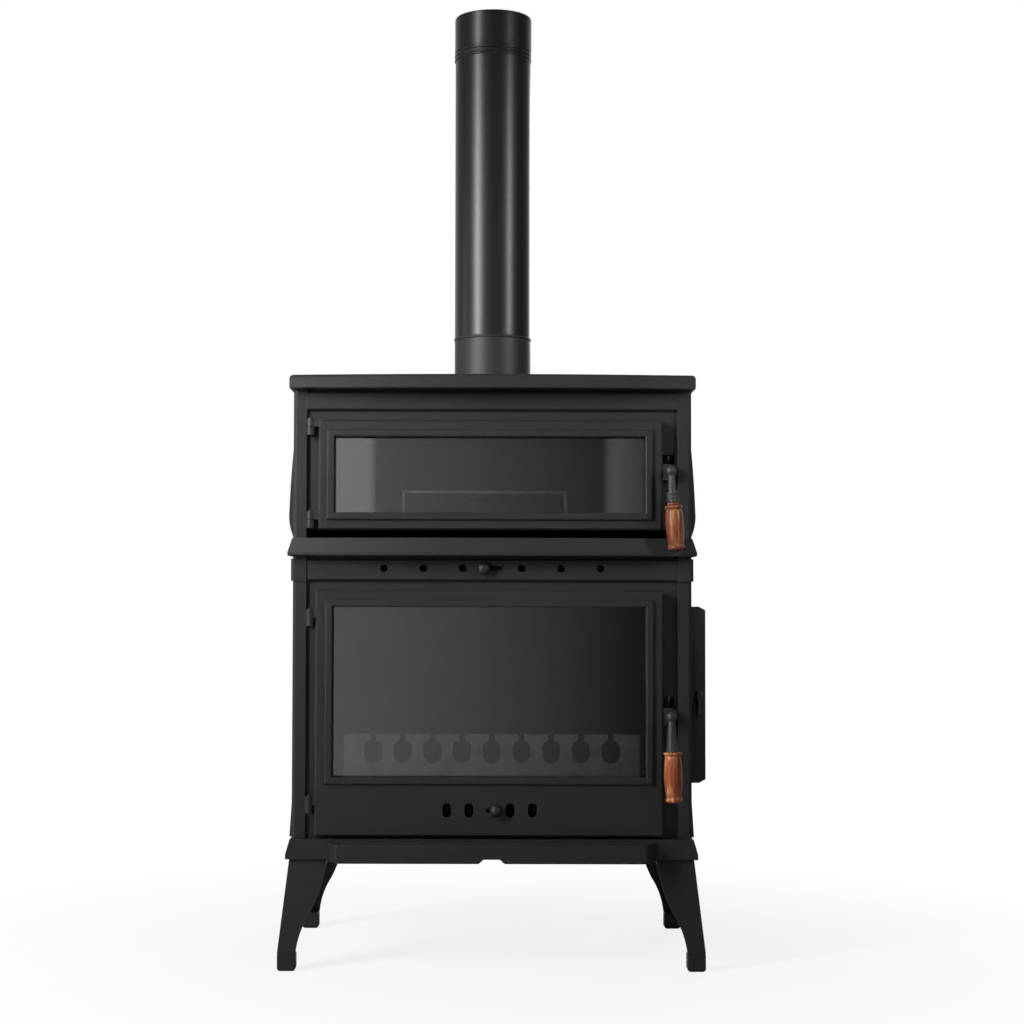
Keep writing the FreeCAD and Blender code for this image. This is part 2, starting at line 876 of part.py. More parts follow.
ledge = z_firebox + s.ledge_rise
cornice_high = z_mid - s.frieze_drop
cornice_low = cornice_high - s.cornice_height


def firebox_side(label):
    """A wall that spreads at its foot, with a half-round cornice on top and a grate ledge inside."""
    wall = new_body(label)
    inside = half - s.side_wall
    brink = inside - s.ledge_width
    under = ledge - s.ledge_thickness
    corners = (
        (inside, z_firebox), (half + s.side_flare, z_firebox), (half, z_firebox + s.side_flare_height),
        (half, cornice_low), (half, cornice_high), (half, z_mid), (inside, z_mid),
        (inside, ledge), (brink, ledge), (brink, under), (inside, under - s.ledge_width),
    )
    section = Outline(*corners, bows={3: s.cornice_swell})
    pad(wall, "XZ_Plane", inner_front, inner_rear, section)
    return wall


def oven_side(label):
    """A wall that swells outwards low down and draws in again under the top plate."""
    wall = new_body(label)
    thick = s.side_wall
    low_bow = s.oven_swell_bow
    high_bow = s.oven_shoulder_bow
    belly = half + s.oven_swell
    height = z_oven + s.oven_swell_rise
    shoulder = z_oven + s.oven_shoulder
    corners = (
        (half - thick, z_oven), (half, z_oven), (belly, height), (half, shoulder), (half, z_top),
        (half - thick, z_top), (half - thick, shoulder), (belly - thick, height),
    )
    section = Outline(*corners, bows={1: low_bow, 2: high_bow, 6: -high_bow, 7: -low_bow})
    pad(wall, "XZ_Plane", inner_front, inner_rear, section)
    return wall


def back_casting(label, low, high):
    casting = new_body(label)
    pad(casting, "XZ_Plane", inner_rear, rear, rectangle(-half, half, low, high))
    keep(casting, label)


# Flue

collar_bolt_circle = s.flue_radius + s.collar_flange / 2


def collar_bolt_places():
    turns = [math.radians(45 + 90 * step) for step in range(4)]
    return [
        (collar_bolt_circle * math.cos(turn), flue_middle + collar_bolt_circle * math.sin(turn))
        for turn in turns
    ]


def flue_collar():
    collar = new_body("flue_collar")
    outer = s.flue_radius
    bore = outer - s.collar_wall
    rim = outer + s.collar_flange
    thick = s.collar_flange_height
    high = s.collar_height
    bead = s.collar_bead
    section = Outline(
        (bore, 0), (rim, 0), (rim, thick), (outer, thick),
        (outer, high - bead * 2), (outer, high), (bore, high), bows={4: bead / 2},
    )
    turned(collar, section)
    radius = s.bolt_radius + s.bolt_clearance
    holes = [Ring(x, y - flue_middle, radius) for x, y in collar_bolt_places()]
    pocket(collar, "XY_Plane", -s.overrun, thick + s.overrun, *holes)
    keep(placed(collar, 0, flue_middle, z_deck), "flue_collar")


def stove_pipe(label, low, height, socket):
    """A pipe whose drawn-in tail slips into the piece below it."""
    pipe = new_body(label)
    outer = s.flue_radius
    tail = socket - s.pipe_clearance
    bore = tail - s.flue_wall
    section = Outline(
        (bore, -s.pipe_tail), (tail, -s.pipe_tail), (tail, 0), (outer, 0), (outer, height),
        (outer - s.flue_wall, height), (outer - s.flue_wall, s.flue_wall), (bore, s.flue_wall),
    )
    turned(pipe, section)
    keep(placed(pipe, 0, flue_middle, low), label)


def body_castings():
    base_plate()
    ash_lip()
    legs()
    foot_pads()
    leg_bolts()
    firebox_front()
    right = firebox_side("firebox_right_side")
    left_form = firebox_side("firebox_left_form")
    keep(mirrored(left_form, "firebox_left_side", "x"), "firebox_left_side")
    side_door_mouth(right)
    keep(right, "firebox_right_side")
    back_casting("firebox_back", z_firebox, z_mid)
    mid_plate()
    oven_front()
    oven_right = keep(oven_side("oven_right_side"), "oven_right_side")
    keep(mirrored(oven_right, "oven_left_side", "x"), "oven_left_side")
    back_casting("oven_back", z_oven, z_top)
    top_plate()
    flue_collar()
    seat = z_deck + s.collar_flange_height
    shank = s.collar_flange_height + s.top_height
    bolts = [bolt("collar_bolt", x, y, seat, shank, True) for x, y in collar_bolt_places()]
    group("flue_collar_bolts", bolts)
    stove_pipe("flue_pipe", z_deck + s.collar_height, s.pipe_height, s.flue_radius - s.collar_wall)
    pipe_top = z_deck + s.collar_height + s.pipe_height
    stove_pipe("flue_upper_pipe", pipe_top, s.upper_pipe_height, s.flue_radius - s.flue_wall)


# Doors

door_back = front - s.door_gap
door_face = door_back - s.door_thickness
hinge_y = front - s.hinge_depth
QUARTER_BOW_SHARE = 1 - math.sqrt(0.5)


def rounded(left, right, low, high, radius):
    """A rectangle with round corners."""
    corners = (
        (left + radius, low), (right - radius, low), (right, low + radius), (right, high - radius),
        (right - radius, high), (left + radius, high), (left, high - radius), (left, low + radius),
    )
    bow = radius * QUARTER_BOW_SHARE
    return Outline(*corners, bows={side: bow for side in (1, 3, 5, 7)})


class Door:
    """The sizes that a front door, its glass, its seal and its handle share."""

    def __init__(self, name, left, right, low, high, window, hinges, handle):
        self.name = name
        self.sides = (-left, right, low, high)
        self.window = window
        self.hinges = hinges
        self.handle = handle


FIREBOX_DOOR = Door(
    "firebox", firebox_door_left, firebox_door_right, firebox_door_low, firebox_door_high,
    (s.firebox_hinge_stile - firebox_door_left, firebox_door_right - s.door_stile,
     firebox_door_low + s.firebox_bottom_rail, firebox_door_high - s.door_stile),
    (firebox_door_low + s.firebox_hinge_rise, firebox_door_high - s.firebox_hinge_drop),
    firebox_door_low + s.firebox_handle_rise,
)
OVEN_DOOR = Door(
    "oven", oven_door_left, oven_door_right, oven_door_low, oven_door_high,
    (s.oven_hinge_stile - oven_door_left, oven_door_right - s.door_stile,
     oven_door_low + s.door_stile, oven_door_high - s.door_stile),
    (oven_door_low + s.oven_hinge_rise, oven_door_high - s.oven_hinge_drop),
    oven_door_low + s.oven_handle_rise,
)


def door_frame(door):
    """A cast frame with a bevelled edge, a round bead about its window and a rebate for the glass."""
    frame = new_body(door.name + "_door_frame")
    pad(frame, "XZ_Plane", door_face, door_back, rounded(*door.sides, s.door_corner))
    soften(frame, "Chamfer", s.door_edge, "y", door_face)
    bead = door_face - s.bead_proud
    pad(frame, "XZ_Plane", bead, door_face, widened(*door.window, s.bead_width), rectangle(*door.window))
    soften(frame, "Fillet", s.bead_edge, "y", bead)
    pocket(frame, "XZ_Plane", door_face, door_back + s.overrun, rectangle(*door.window))
    rebate = widened(*door.window, s.glass_lap)
    pocket(frame, "XZ_Plane", door_back - s.glass_depth, door_back + s.overrun, rebate)
    pocket(frame, "XZ_Plane", door_back - s.rope_depth, door_back + s.overrun, *rope_ring(door.sides))
    for seat in door.hinges:
        door_knuckle(frame, door.sides[0], seat + s.knuckle_gap)
    handle_ear(frame, door)
    return frame


def rope_ring(sides):
    return widened(*sides, -s.rope_inset), widened(*sides, -s.rope_inset - s.rope_width)


def door_knuckle(frame, edge, low):
    high = low + s.knuckle_height
    x = -hinge_line
    web = rectangle(x, edge + s.door_corner, hinge_y - s.hinge_web / 2, hinge_y + s.hinge_web / 2)
    pad(frame, "XY_Plane", low, high, web)
    pad(frame, "XY_Plane", low, high, Ring(x, hinge_y, s.knuckle_radius))
    bore = Ring(x, hinge_y, s.pin_radius + s.pin_clearance)
    pocket(frame, "XY_Plane", low - s.overrun, high + s.overrun, bore)


ear_front = door_face + s.door_edge
ear_back = ear_front + s.ear_thickness


def handle_ear(frame, door):
    """The eye beside the door's free edge that the handle's shaft turns in."""
    tall = s.ear_height / 2
    edge = door.sides[1] - s.door_corner
    pad(frame, "XZ_Plane", ear_front, ear_back,
        rectangle(edge, handle_line, door.handle - tall, door.handle + tall))
    pad(frame, "XZ_Plane", ear_front, ear_back, Ring(handle_line, door.handle, tall))
    bore = Ring(handle_line, door.handle, s.shaft_radius + s.shaft_clearance)
    pocket(frame, "XZ_Plane", ear_front - s.overrun, ear_back + s.overrun, bore)


def door_glass(door):
    glass = new_body(door.name + "_glass")
    seat = door_back - s.glass_depth
    pane = widened(*door.window, s.glass_lap - s.glass_clearance)
    pad(glass, "XZ_Plane", seat, seat + s.glass_thickness, pane)
    keep(glass, door.name + "_glass")


def glass_clips(door):
    """Flat clips in the rebate that hold the glass against its seat."""
    left, right, low, high = door.window
    near = door_back - s.glass_depth + s.glass_thickness
    long = s.clip_length / 2
    lap = s.glass_lap
    clips = []
    for side in (left / 2, right / 2):
        for inner, outer in ((low - lap + s.clip_width, low - lap), (high + lap, high + lap - s.clip_width)):
            clip = new_body(door.name + "_glass_clip")
            plan = rectangle(side - long, side + long, outer, inner)
            pad(clip, "XZ_Plane", near, door_back - s.door_gap, plan)
            clips.append(clip)
    group(door.name + "_glass_clips", clips)


def door_rope(door):
    rope = new_body(door.name + "_door_rope")
    pad(rope, "XZ_Plane", door_back - s.rope_depth, front - s.rope_clearance, *rope_ring(door.sides))
    keep(rope, door.name + "_door_rope")


def upright_pins(label, x, y, seats):
    """Hinge pins through a fixed knuckle and the door knuckle above it."""
    pins = []
    for seat in seats:
        pin = new_body(label[:-1])
        top = seat + s.knuckle_gap + s.knuckle_height + s.pin_tip
        pad(pin, "XY_Plane", seat - s.knuckle_height, top, Ring(x, y, s.pin_radius))
        soften(pin, "Fillet", s.pin_radius / 2, "z", top)
        pins.append(pin)
    group(label, pins)


# Handles

GRIP_SHARES = {"foot": 0.75, "bottom_collar": 0.07, "bottom_neck": 0.14, "waist": 0.8, "top_neck": 0.84,
               "top_collar": 0.9}


def handle(door, neck_length, neck_end, grip_length, tilt):
    """A ball-headed lever on a shaft with a latch tongue, its neck carrying a turned wooden grip."""
    axis = -s.handle_depth
    lean = FreeCAD.Rotation(FreeCAD.Vector(0, 1, 0), -tilt)
    pivot = (handle_line, front, door.handle)
    lever = new_body(door.name + "_handle_lever")
    ball = s.handle_ball
    neck = s.neck_radius
    drop = (ball * ball - neck * neck).root()
    foot = -neck_length - grip_length
    core = s.grip_core_radius
    head = Outline(
        (0, foot), (core, foot), (core, -neck_length), (neck_end, -neck_length), (neck, -drop), (0, ball),
        bows={4: cap_bow(neck, ball + drop)},
    )
    turned(lever, head, at=axis)
    reach = s.front_wall + s.tongue_clearance
    pad(lever, "XZ_Plane", axis, reach + s.tongue_depth, Ring(0, 0, s.shaft_radius))
    hub = ear_front - front - s.tongue_clearance / 4
    pad(lever, "XZ_Plane", axis, hub, Ring(0, 0, neck + s.shaft_clearance))
    wide = s.tongue_thickness / 2
    tongue = rectangle(-wide, wide, -s.shaft_radius, s.tongue_reach)
    pad(lever, "XZ_Plane", reach, reach + s.tongue_depth, tongue)
    keep(placed(lever, *pivot, turn=lean), door.name + "_handle_lever")

    grip = new_body(door.name + "_handle_grip")
    bore = core + s.grip_clearance
    collar = s.grip_collar_radius
    waist = collar * GRIP_SHARES["waist"]
    section = Outline(
        (bore, foot), (collar * GRIP_SHARES["foot"], foot),
        (collar, foot + grip_length * GRIP_SHARES["bottom_collar"]),
        (waist, foot + grip_length * GRIP_SHARES["bottom_neck"]),
        (waist, foot + grip_length * GRIP_SHARES["top_neck"]),
        (collar, foot + grip_length * GRIP_SHARES["top_collar"]),
        (collar, -neck_length), (bore, -neck_length), bows={3: s.grip_radius - waist},
    )
    turned(grip, section, at=axis)
    keep(placed(grip, *pivot, turn=lean), door.name + "_handle_grip")

    cap = new_body(door.name + "_grip_cap")
    low = foot - s.grip_cap_height
    dome = cap_bow(s.grip_cap_radius, s.grip_cap_height)
    turned(cap, Outline((0, low), (s.grip_cap_radius, foot), (0, foot), bows={0: dome}), at=axis)
    keep(placed(cap, *pivot, turn=lean), door.name + "_grip_cap")


# Air slides

def knob(label, x, seat, face, z):
    """A turned knob on a stem, from the slide's face out past the casting."""
    made = new_body(label)
    stem = seat - face + s.knob_neck
    radius = s.knob_radius
    top = stem + s.knob_height
    shoulder = s.knob_height / 2
    section = Outline(
        (0, 0), (s.stem_radius, 0), (s.stem_radius, stem), (radius, stem + shoulder / 2),
        (radius, stem + shoulder), (0, top), bows={4: cap_bow(radius, shoulder)},
    )
    turned(made, section)
    keep(placed(made, x, seat, z, turn=FORWARD), label)


def guide_rails(label, left, right, near, low, high):
    """Two rails of L section along a slide's edges, which lap over its back."""
    deep = near + s.slide_thickness + s.slide_clearance * 2
    back = deep + s.slide_lap
    rails = []
    for edge, way in ((high + s.slide_clearance, 1), (low - s.slide_clearance, -1)):
        rail = new_body(label[:-1])
        lap = edge - s.slide_lap * way
        outer = edge + s.slide_guide * way
        corners = [(near, edge), (deep, edge), (deep, lap), (back, lap), (back, outer), (near, outer)]
        pad(rail, "YZ_Plane", left, right, Outline(*corners))
        rails.append(rail)
    group(label, rails)


def upper_air_slide():
    near = inner_front + s.slide_clearance
    tall = s.air_hole_radius + s.slide_margin
    wide = s.air_hole_pitch * AIR_HOLE_STEPS[-1] + s.air_hole_radius + s.upper_slide_end
    low = upper_air_height - tall
    high = upper_air_height + tall
    plate = new_body("upper_air_slide")
    holes = [Ring(step * s.air_hole_pitch, upper_air_height, s.air_hole_radius) for step in AIR_HOLE_STEPS]
    pad(plate, "XZ_Plane", near, near + s.slide_thickness, rectangle(-wide, wide, low, high), *holes)
    keep(plate, "upper_air_slide")
    guide_rails("upper_air_guides", -wide, wide + s.upper_slide_travel, inner_front, low, high)
    knob("upper_air_knob", s.upper_slide_rest, near, front - s.frieze_proud, upper_air_height)


lower_floor = door_back - s.lower_skin
lower_air_height = firebox_door_low + s.lower_slot_rise
lower_tall = s.lower_slot_height / 2 + s.lower_slide_margin


def lower_air_slots():
    reaches = (-s.lower_slot_outer, -s.lower_slot_inner, s.lower_slot_inner, s.lower_slot_outer)
    size = (s.lower_slot_width, s.lower_slot_height)
    return [slot_up(s.lower_slot_middle + reach, lower_air_height, *size) for reach in reaches]


def lower_slide_span():
    wide = s.lower_slot_outer + s.lower_slot_width / 2 + s.lower_slide_end
    return s.lower_slot_middle - wide, s.lower_slot_middle + wide


def lower_air_cuts(frame):
    """The air slots, the knob's slot and the recess for the slide, low in the firebox door."""
    left, right = lower_slide_span()
    tall = lower_tall + s.slide_guide + s.slide_clearance * 2
    room = rectangle(left - s.lower_slide_back - s.overrun, right + s.lower_slide_on + s.overrun,
                     lower_air_height - tall, lower_air_height + tall)
    pocket(frame, "XZ_Plane", lower_floor, door_back + s.overrun, room)
    stem = slot_along(s.lower_slide_rest - s.lower_slide_back, s.lower_slide_rest + s.lower_slide_on,
                      lower_air_height, stem_way)
    pocket(frame, "XZ_Plane", door_face - s.overrun, lower_floor + s.overrun, stem, *lower_air_slots())


def lower_air_slide():
    left, right = lower_slide_span()
    near = lower_floor + s.slide_clearance
    low = lower_air_height - lower_tall
    high = lower_air_height + lower_tall
    plate = new_body("lower_air_slide")
    blank = rectangle(left, right, low, high)
    pad(plate, "XZ_Plane", near, near + s.slide_thickness, blank, *lower_air_slots())
    keep(plate, "lower_air_slide")
    ends = (left - s.lower_slide_back, right + s.lower_slide_on)
    guide_rails("lower_air_guides", *ends, lower_floor, low, high)
    knob("lower_air_knob", s.lower_slide_rest, near, door_face, lower_air_height)


def front_doors():
    frame = door_frame(FIREBOX_DOOR)
    lower_air_cuts(frame)
    keep(frame, "firebox_door_frame")
    keep(door_frame(OVEN_DOOR), "oven_door_frame")
    for door in (FIREBOX_DOOR, OVEN_DOOR):
        door_glass(door)
        glass_clips(door)
        door_rope(door)
        upright_pins(door.name + "_hinge_pins", -hinge_line, hinge_y, door.hinges)
    handle(FIREBOX_DOOR, s.firebox_neck_length, s.firebox_neck_end_radius, s.firebox_grip_length,
           SIZES["firebox_handle_tilt"])
    handle(OVEN_DOOR, s.oven_neck_length, s.oven_neck_end_radius, s.oven_grip_length,
           SIZES["oven_handle_tilt"])
    upper_air_slide()
    lower_air_slide()


# Inside the firebox

grate_top = ledge + s.grate_thickness
grate_near = front + s.grate_front
grate_far = rear - s.grate_front
grate_half = half - s.side_wall - s.grate_clearance
liner_out = half - s.side_wall - s.liner_gap
liner_in = liner_out - s.liner_thickness
liner_top = z_mid - s.liner_head


def fire_grate():
    grate = new_body("fire_grate")
    plan = rectangle(-grate_half, grate_half, grate_near, grate_far)
    pad(grate, "XY_Plane", ledge, grate_top, plan)
    pitch = (grate_half - s.grate_border) * 2 / GRATE_SLOTS
    near = grate_near + s.grate_border
    far = grate_far - s.grate_border
    slots = []
    for step in range(GRATE_SLOTS):
        x = pitch * (step - (GRATE_SLOTS - 1) / 2)
        slots.append(rectangle(x - s.grate_slot / 2, x + s.grate_slot / 2, near, far))
    pocket(grate, "XY_Plane", ledge - s.overrun, grate_top + s.overrun, *slots)
    keep(grate, "fire_grate")


def fire_liners():
    near = front + s.liner_front
    left = new_body("left_fire_liner")
    pad(left, "XY_Plane", grate_top, liner_top, rectangle(-liner_out, -liner_in, near, grate_far))
    keep(left, "left_fire_liner")
    right = new_body("right_fire_liner")
    pad(right, "XY_Plane", grate_top, liner_top, rectangle(liner_in, liner_out, near, grate_far))
    pocket(right, "YZ_Plane", liner_in - s.overrun, liner_out + s.overrun, side_mouth())
    keep(right, "right_fire_liner")
    back = new_body("rear_fire_liner")
    wide = liner_in - s.liner_gap
    plan = rectangle(-wide, wide, grate_far - s.liner_thickness, grate_far)
    pad(back, "XY_Plane", grate_top, liner_top, plan)
    keep(back, "rear_fire_liner")


def baffle_plate():
    baffle = new_body("baffle_plate")
    sheet = rectangle(-liner_out, liner_out, front + s.baffle_front, grate_far)
    pad(baffle, "XY_Plane", liner_top, liner_top + s.baffle_thickness, sheet)
    keep(baffle, "baffle_plate")


def log_fence():
    """The cast rail that keeps logs off the glass, with keyhole openings along its top."""
    fence = new_body("log_fence")
    near = front + s.fence_front
    far = near + s.fence_thickness
    wide = s.fence_width / 2
    top = grate_top + s.fence_height
    pad(fence, "XZ_Plane", near, far, rectangle(-wide, wide, grate_top, top))
    pitch = (wide - s.fence_end - s.fence_hole_radius) * 2 / (FENCE_HOLES - 1)
    places = [pitch * (step - (FENCE_HOLES - 1) / 2) for step in range(FENCE_HOLES)]
    eye = top - s.fence_hole_drop
    cut = (near - s.overrun, far + s.overrun)
    round_hole = s.fence_hole_radius
    foot = eye - s.fence_hole_stretch
    pocket(fence, "XZ_Plane", *cut, *[Ring(x, eye, round_hole) for x in places])
    pocket(fence, "XZ_Plane", *cut, *[Ring(x, foot, round_hole) for x in places])
    pocket(fence, "XZ_Plane", *cut, *[rectangle(x - round_hole, x + round_hole, foot, eye) for x in places])
    slit = s.fence_slit / 2
    pocket(fence, "XZ_Plane", *cut, *[rectangle(x - slit, x + slit, eye, top + s.overrun) for x in places])
    keep(fence, "log_fence")


def ash_pan():
    pan = new_body("ash_pan")
    near = front + s.pan_front
    far = near + s.pan_depth
    wide = s.pan_width / 2
    wall = s.pan_wall
    flare = s.pan_flare
    top = z_firebox + s.pan_height
    foot = rectangle(-wide, wide, near, far)
    rim = rectangle(-wide - flare, wide + flare, near, far)
    loft(pan, "XY_Plane", (z_firebox, foot), (top, rim))
    floor = rectangle(-wide + wall, wide - wall, near + wall, far - wall)
    mouth_rim = rectangle(-wide - flare + wall, wide + flare - wall, near + wall, far - wall)
    loft(pan, "XY_Plane", (z_firebox + wall, floor), (top, mouth_rim), cut=True)
    keep(pan, "ash_pan")


tie_rod_x = half - s.tie_rod_inset


def tie_rods(label, low, high):
    rods = []
    for side in SIDES:
        for y in (front + s.tie_rod_setback, rear - s.tie_rod_setback):
            rod = DOC.addObject("Part::Cylinder", label[:-1])
            rod.setExpression("Radius", s.tie_rod_radius.text)
            rod.setExpression("Height", (high - low).text)
            rods.append(placed(rod, side * tie_rod_x, y, low))
    group(label, rods)


# Inside the oven

oven_floor = z_oven + s.oven_liner_low


def oven_liner():
    """A sheet box that narrows to the back, flanged against the oven front."""
    liner = new_body("oven_liner")
    wall = s.oven_liner_wall
    wide = tie_rod_x - s.tie_rod_radius - s.oven_liner_flange - s.oven_liner_clearance
    narrow = s.oven_liner_back_width / 2
    high = z_top - s.oven_liner_head
    far = inner_front + s.oven_liner_depth
    lower = high - s.oven_liner_shrink
    lip = rectangle(-wide + wall, wide - wall, oven_floor + wall, high - wall)
    loft(liner, "XZ_Plane", (inner_front, rectangle(-wide, wide, oven_floor, high)),
         (far, rectangle(-narrow, narrow, oven_floor, lower)))
    flange = widened(-wide, wide, oven_floor, high, s.oven_liner_flange)
    pad(liner, "XZ_Plane", inner_front, inner_front + wall, flange)
    inner_back = rectangle(-narrow + wall, narrow - wall, oven_floor + wall, lower - wall)
    loft(liner, "XZ_Plane", (inner_front, lip), (far - wall, inner_back), cut=True)
    keep(liner, "oven_liner")


def wire(name, radius, start, length, way):
    """A straight piece of rack wire from a point, along an axis."""
    made = DOC.addObject("Part::Cylinder", name)
    made.setExpression("Radius", radius.text)
    made.setExpression("Height", length.text)
    ways = {"x": RIGHTWARD, "y": FreeCAD.Rotation(FreeCAD.Vector(1, 0, 0), -90), "z": FreeCAD.Rotation()}
    return placed(made, *start, turn=ways[way])


def oven_rack():
    """A low wire stand: two arched ends joined by straight rods."""
    low = oven_floor + s.oven_liner_wall
    left = s.rack_offset - s.rack_width / 2
    near = front + s.rack_front
    rise = s.rack_height - s.rack_knee
    top = low + rise
    pieces = []
    for y in (near, near + s.rack_depth):
        pieces.append(wire("rack_bar", s.rack_wire, (left, y, top), s.rack_width, "x"))
        for x in (left, left + s.rack_width):
            pieces.append(wire("rack_leg", s.rack_wire, (x, y, low), rise, "z"))
            knee = DOC.addObject("Part::Sphere", "rack_knee")
            knee.setExpression("Radius", s.rack_knee.text)
            pieces.append(placed(knee, x, y, top))
    for step in range(RACK_RODS):
        x = left + s.rack_width * ((step + 1) / (RACK_RODS + 1))
        pieces.append(wire("rack_rod", s.rack_rod, (x, near, top), s.rack_depth, "y"))
    rack = DOC.addObject("Part::MultiFuse", "oven_rack")
    rack.Shapes = pieces
    keep(rack, "oven_rack")


# Side loading door

side_near = front + s.side_door_front
side_far = side_near + s.side_door_width
side_low = z_firebox + s.side_door_rise
side_high = z_mid - s.side_door_head
side_latch_height = side_low + s.side_latch_rise
side_face = half + s.side_door_gap
side_axis_x = side_face + s.side_hinge_out
side_axis_y = side_far + s.side_hinge_setback
side_seats = (side_low + s.side_hinge_inset, side_high - s.side_hinge_inset)
side_latch_y = side_near - s.side_latch_reach
side_tongue_near = half - s.side_wall - s.tongue_clearance


def side_mouth():
    return widened(side_near, side_far, side_low, side_high, -s.side_door_land)


def side_door_mouth(wall):
    """Cut the loading mouth and latch slot into the right wall and add the fixed knuckles."""
    through = (half - s.side_wall - s.overrun, half + s.overrun)
    wide = s.side_latch_slot / 2
    slot = rectangle(side_latch_y - wide, side_latch_y + wide, side_latch_height - s.latch_slot_low,
                     side_latch_height + s.side_tongue_reach + s.tongue_clearance)
    pocket(wall, "YZ_Plane", *through, side_mouth(), slot)
    web = s.hinge_web / 2
    for seat in side_seats:
        low = seat - s.knuckle_height
        pad(wall, "XY_Plane", low, seat, rectangle(half, side_axis_x, side_axis_y - web, side_axis_y + web))
        pad(wall, "XY_Plane", low, seat, Ring(side_axis_x, side_axis_y, s.knuckle_radius))
        bore = Ring(side_axis_x, side_axis_y, s.pin_radius + s.pin_clearance)
        pocket(wall, "XY_Plane", low - s.overrun, seat + s.overrun, bore)


def side_door():
    """A dished cast door with a bevelled outer face, hung at its rear edge."""
    panel = new_body("side_door_panel")
    sides = (side_near, side_far, side_low, side_high)
    crown = side_face + s.side_door_thickness
    pad(panel, "YZ_Plane", side_face, crown, rounded(*sides, s.door_corner))
    loft(panel, "YZ_Plane", (crown, rectangle(*sides)),
         (crown + s.side_door_dish, widened(*sides, -s.side_door_bevel)))
    hollow = widened(*sides, -s.side_door_land)
    pocket(panel, "YZ_Plane", side_face - s.overrun, side_face + s.side_door_hollow, hollow)
    pocket(panel, "YZ_Plane", side_face - s.overrun, side_face + s.rope_depth, *rope_ring(sides))
    web = s.hinge_web / 2
    for seat in side_seats:
        low = seat + s.knuckle_gap
        high = low + s.knuckle_height
        arm = rectangle(side_axis_x - web, side_axis_x + web, side_far - s.door_corner, side_axis_y)
        pad(panel, "XY_Plane", low, high, arm)
        pad(panel, "XY_Plane", low, high, Ring(side_axis_x, side_axis_y, s.knuckle_radius))
        bore = Ring(side_axis_x, side_axis_y, s.pin_radius + s.pin_clearance)
        pocket(panel, "XY_Plane", low - s.overrun, high + s.overrun, bore)
    tall = s.side_latch_ear / 2
    ear = (side_face + s.side_door_gap, side_face + s.side_door_gap + s.side_ear_thickness)
    level = side_latch_height
    root = side_near + s.door_corner
    pad(panel, "YZ_Plane", *ear, rectangle(side_latch_y, root, level - tall, level + tall))
    pad(panel, "YZ_Plane", *ear, Ring(side_latch_y, level, tall))
    bore = Ring(side_latch_y, level, s.shaft_radius + s.shaft_clearance)
    pocket(panel, "YZ_Plane", ear[0] - s.overrun, ear[1] + s.overrun, bore)
    keep(panel, "side_door_panel")

    rope = new_body("side_door_rope")
    pad(rope, "YZ_Plane", half + s.rope_clearance, side_face + s.rope_depth, *rope_ring(sides))
    keep(rope, "side_door_rope")
    upright_pins("side_hinge_pins", side_axis_x, side_axis_y, side_seats)


def side_latch():
    """A ball-headed latch lever hanging at the side door's front edge."""
    lever = new_body("side_latch_lever")
    ball = s.side_latch_ball
    out = side_face + s.side_door_gap + s.side_ear_thickness + ball
    neck = s.shaft_radius
    drop = (ball * ball - neck * neck).root()
    foot = -s.side_latch_lever
    tip = s.side_latch_tip
    head = Outline((0, foot), (tip, foot + tip), (neck, foot + tip * 2), (neck, -drop), (0, ball),
                   bows={0: cap_bow(tip, tip), 3: cap_bow(neck, ball + drop)})
    turned(lever, head)
    far = side_tongue_near - s.tongue_depth - out
    pad(lever, "YZ_Plane", far, 0, Ring(0, 0, s.shaft_radius))
    wide = s.tongue_thickness / 2
    tongue = rectangle(-wide, wide, -s.shaft_radius, s.side_tongue_reach)
    pad(lever, "YZ_Plane", far, far + s.tongue_depth, tongue)
    keep(placed(lever, out, side_latch_y, side_latch_height), "side_latch_lever")


# Build, prove and write every piece

def build():
    body_castings()
    front_doors()
    fire_grate()
    fire_liners()
    baffle_plate()
    log_fence()
    ash_pan()
    tie_rods("firebox_tie_rods", z_firebox, z_mid)
    oven_liner()
    oven_rack()
    tie_rods("oven_tie_rods", z_oven, z_top)
    side_door()
    side_latch()
    DOC.recompute()


def prove():
    for item in DOC.Objects:
        if "Invalid" in item.State or "Error" in item.State:
            raise RuntimeError(f"{item.Label} failed to build")
    for label, piece in PIECES.items():
        if piece.Shape.isNull() or not piece.Shape.isValid() or not piece.Shape.Solids:
            raise RuntimeError(f"{label} isn't a sound solid")


def write():
    os.makedirs("parts", exist_ok=True)
    for label, piece in PIECES.items():
        piece.Shape.exportStep(os.path.join("parts", label + ".step"))
    print(len(PIECES), "pieces written")


build()
prove()
write()
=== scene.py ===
import json
import math

import bmesh
import bpy
from mathutils import Matrix, Vector


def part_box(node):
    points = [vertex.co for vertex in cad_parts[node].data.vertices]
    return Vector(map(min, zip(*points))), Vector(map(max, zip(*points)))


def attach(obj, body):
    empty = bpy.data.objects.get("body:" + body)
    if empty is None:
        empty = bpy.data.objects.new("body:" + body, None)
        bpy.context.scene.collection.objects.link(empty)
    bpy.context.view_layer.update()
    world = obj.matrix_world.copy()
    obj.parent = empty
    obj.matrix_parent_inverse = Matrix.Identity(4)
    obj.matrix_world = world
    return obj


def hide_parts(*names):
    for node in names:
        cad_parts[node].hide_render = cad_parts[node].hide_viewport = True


# A black cast iron cookstove with glazed doors and turned wooden grips, in a plain bright studio.
# Metres, in the stove's own frame: +X to the right, +Y to the back, +Z up, the floor at zero.

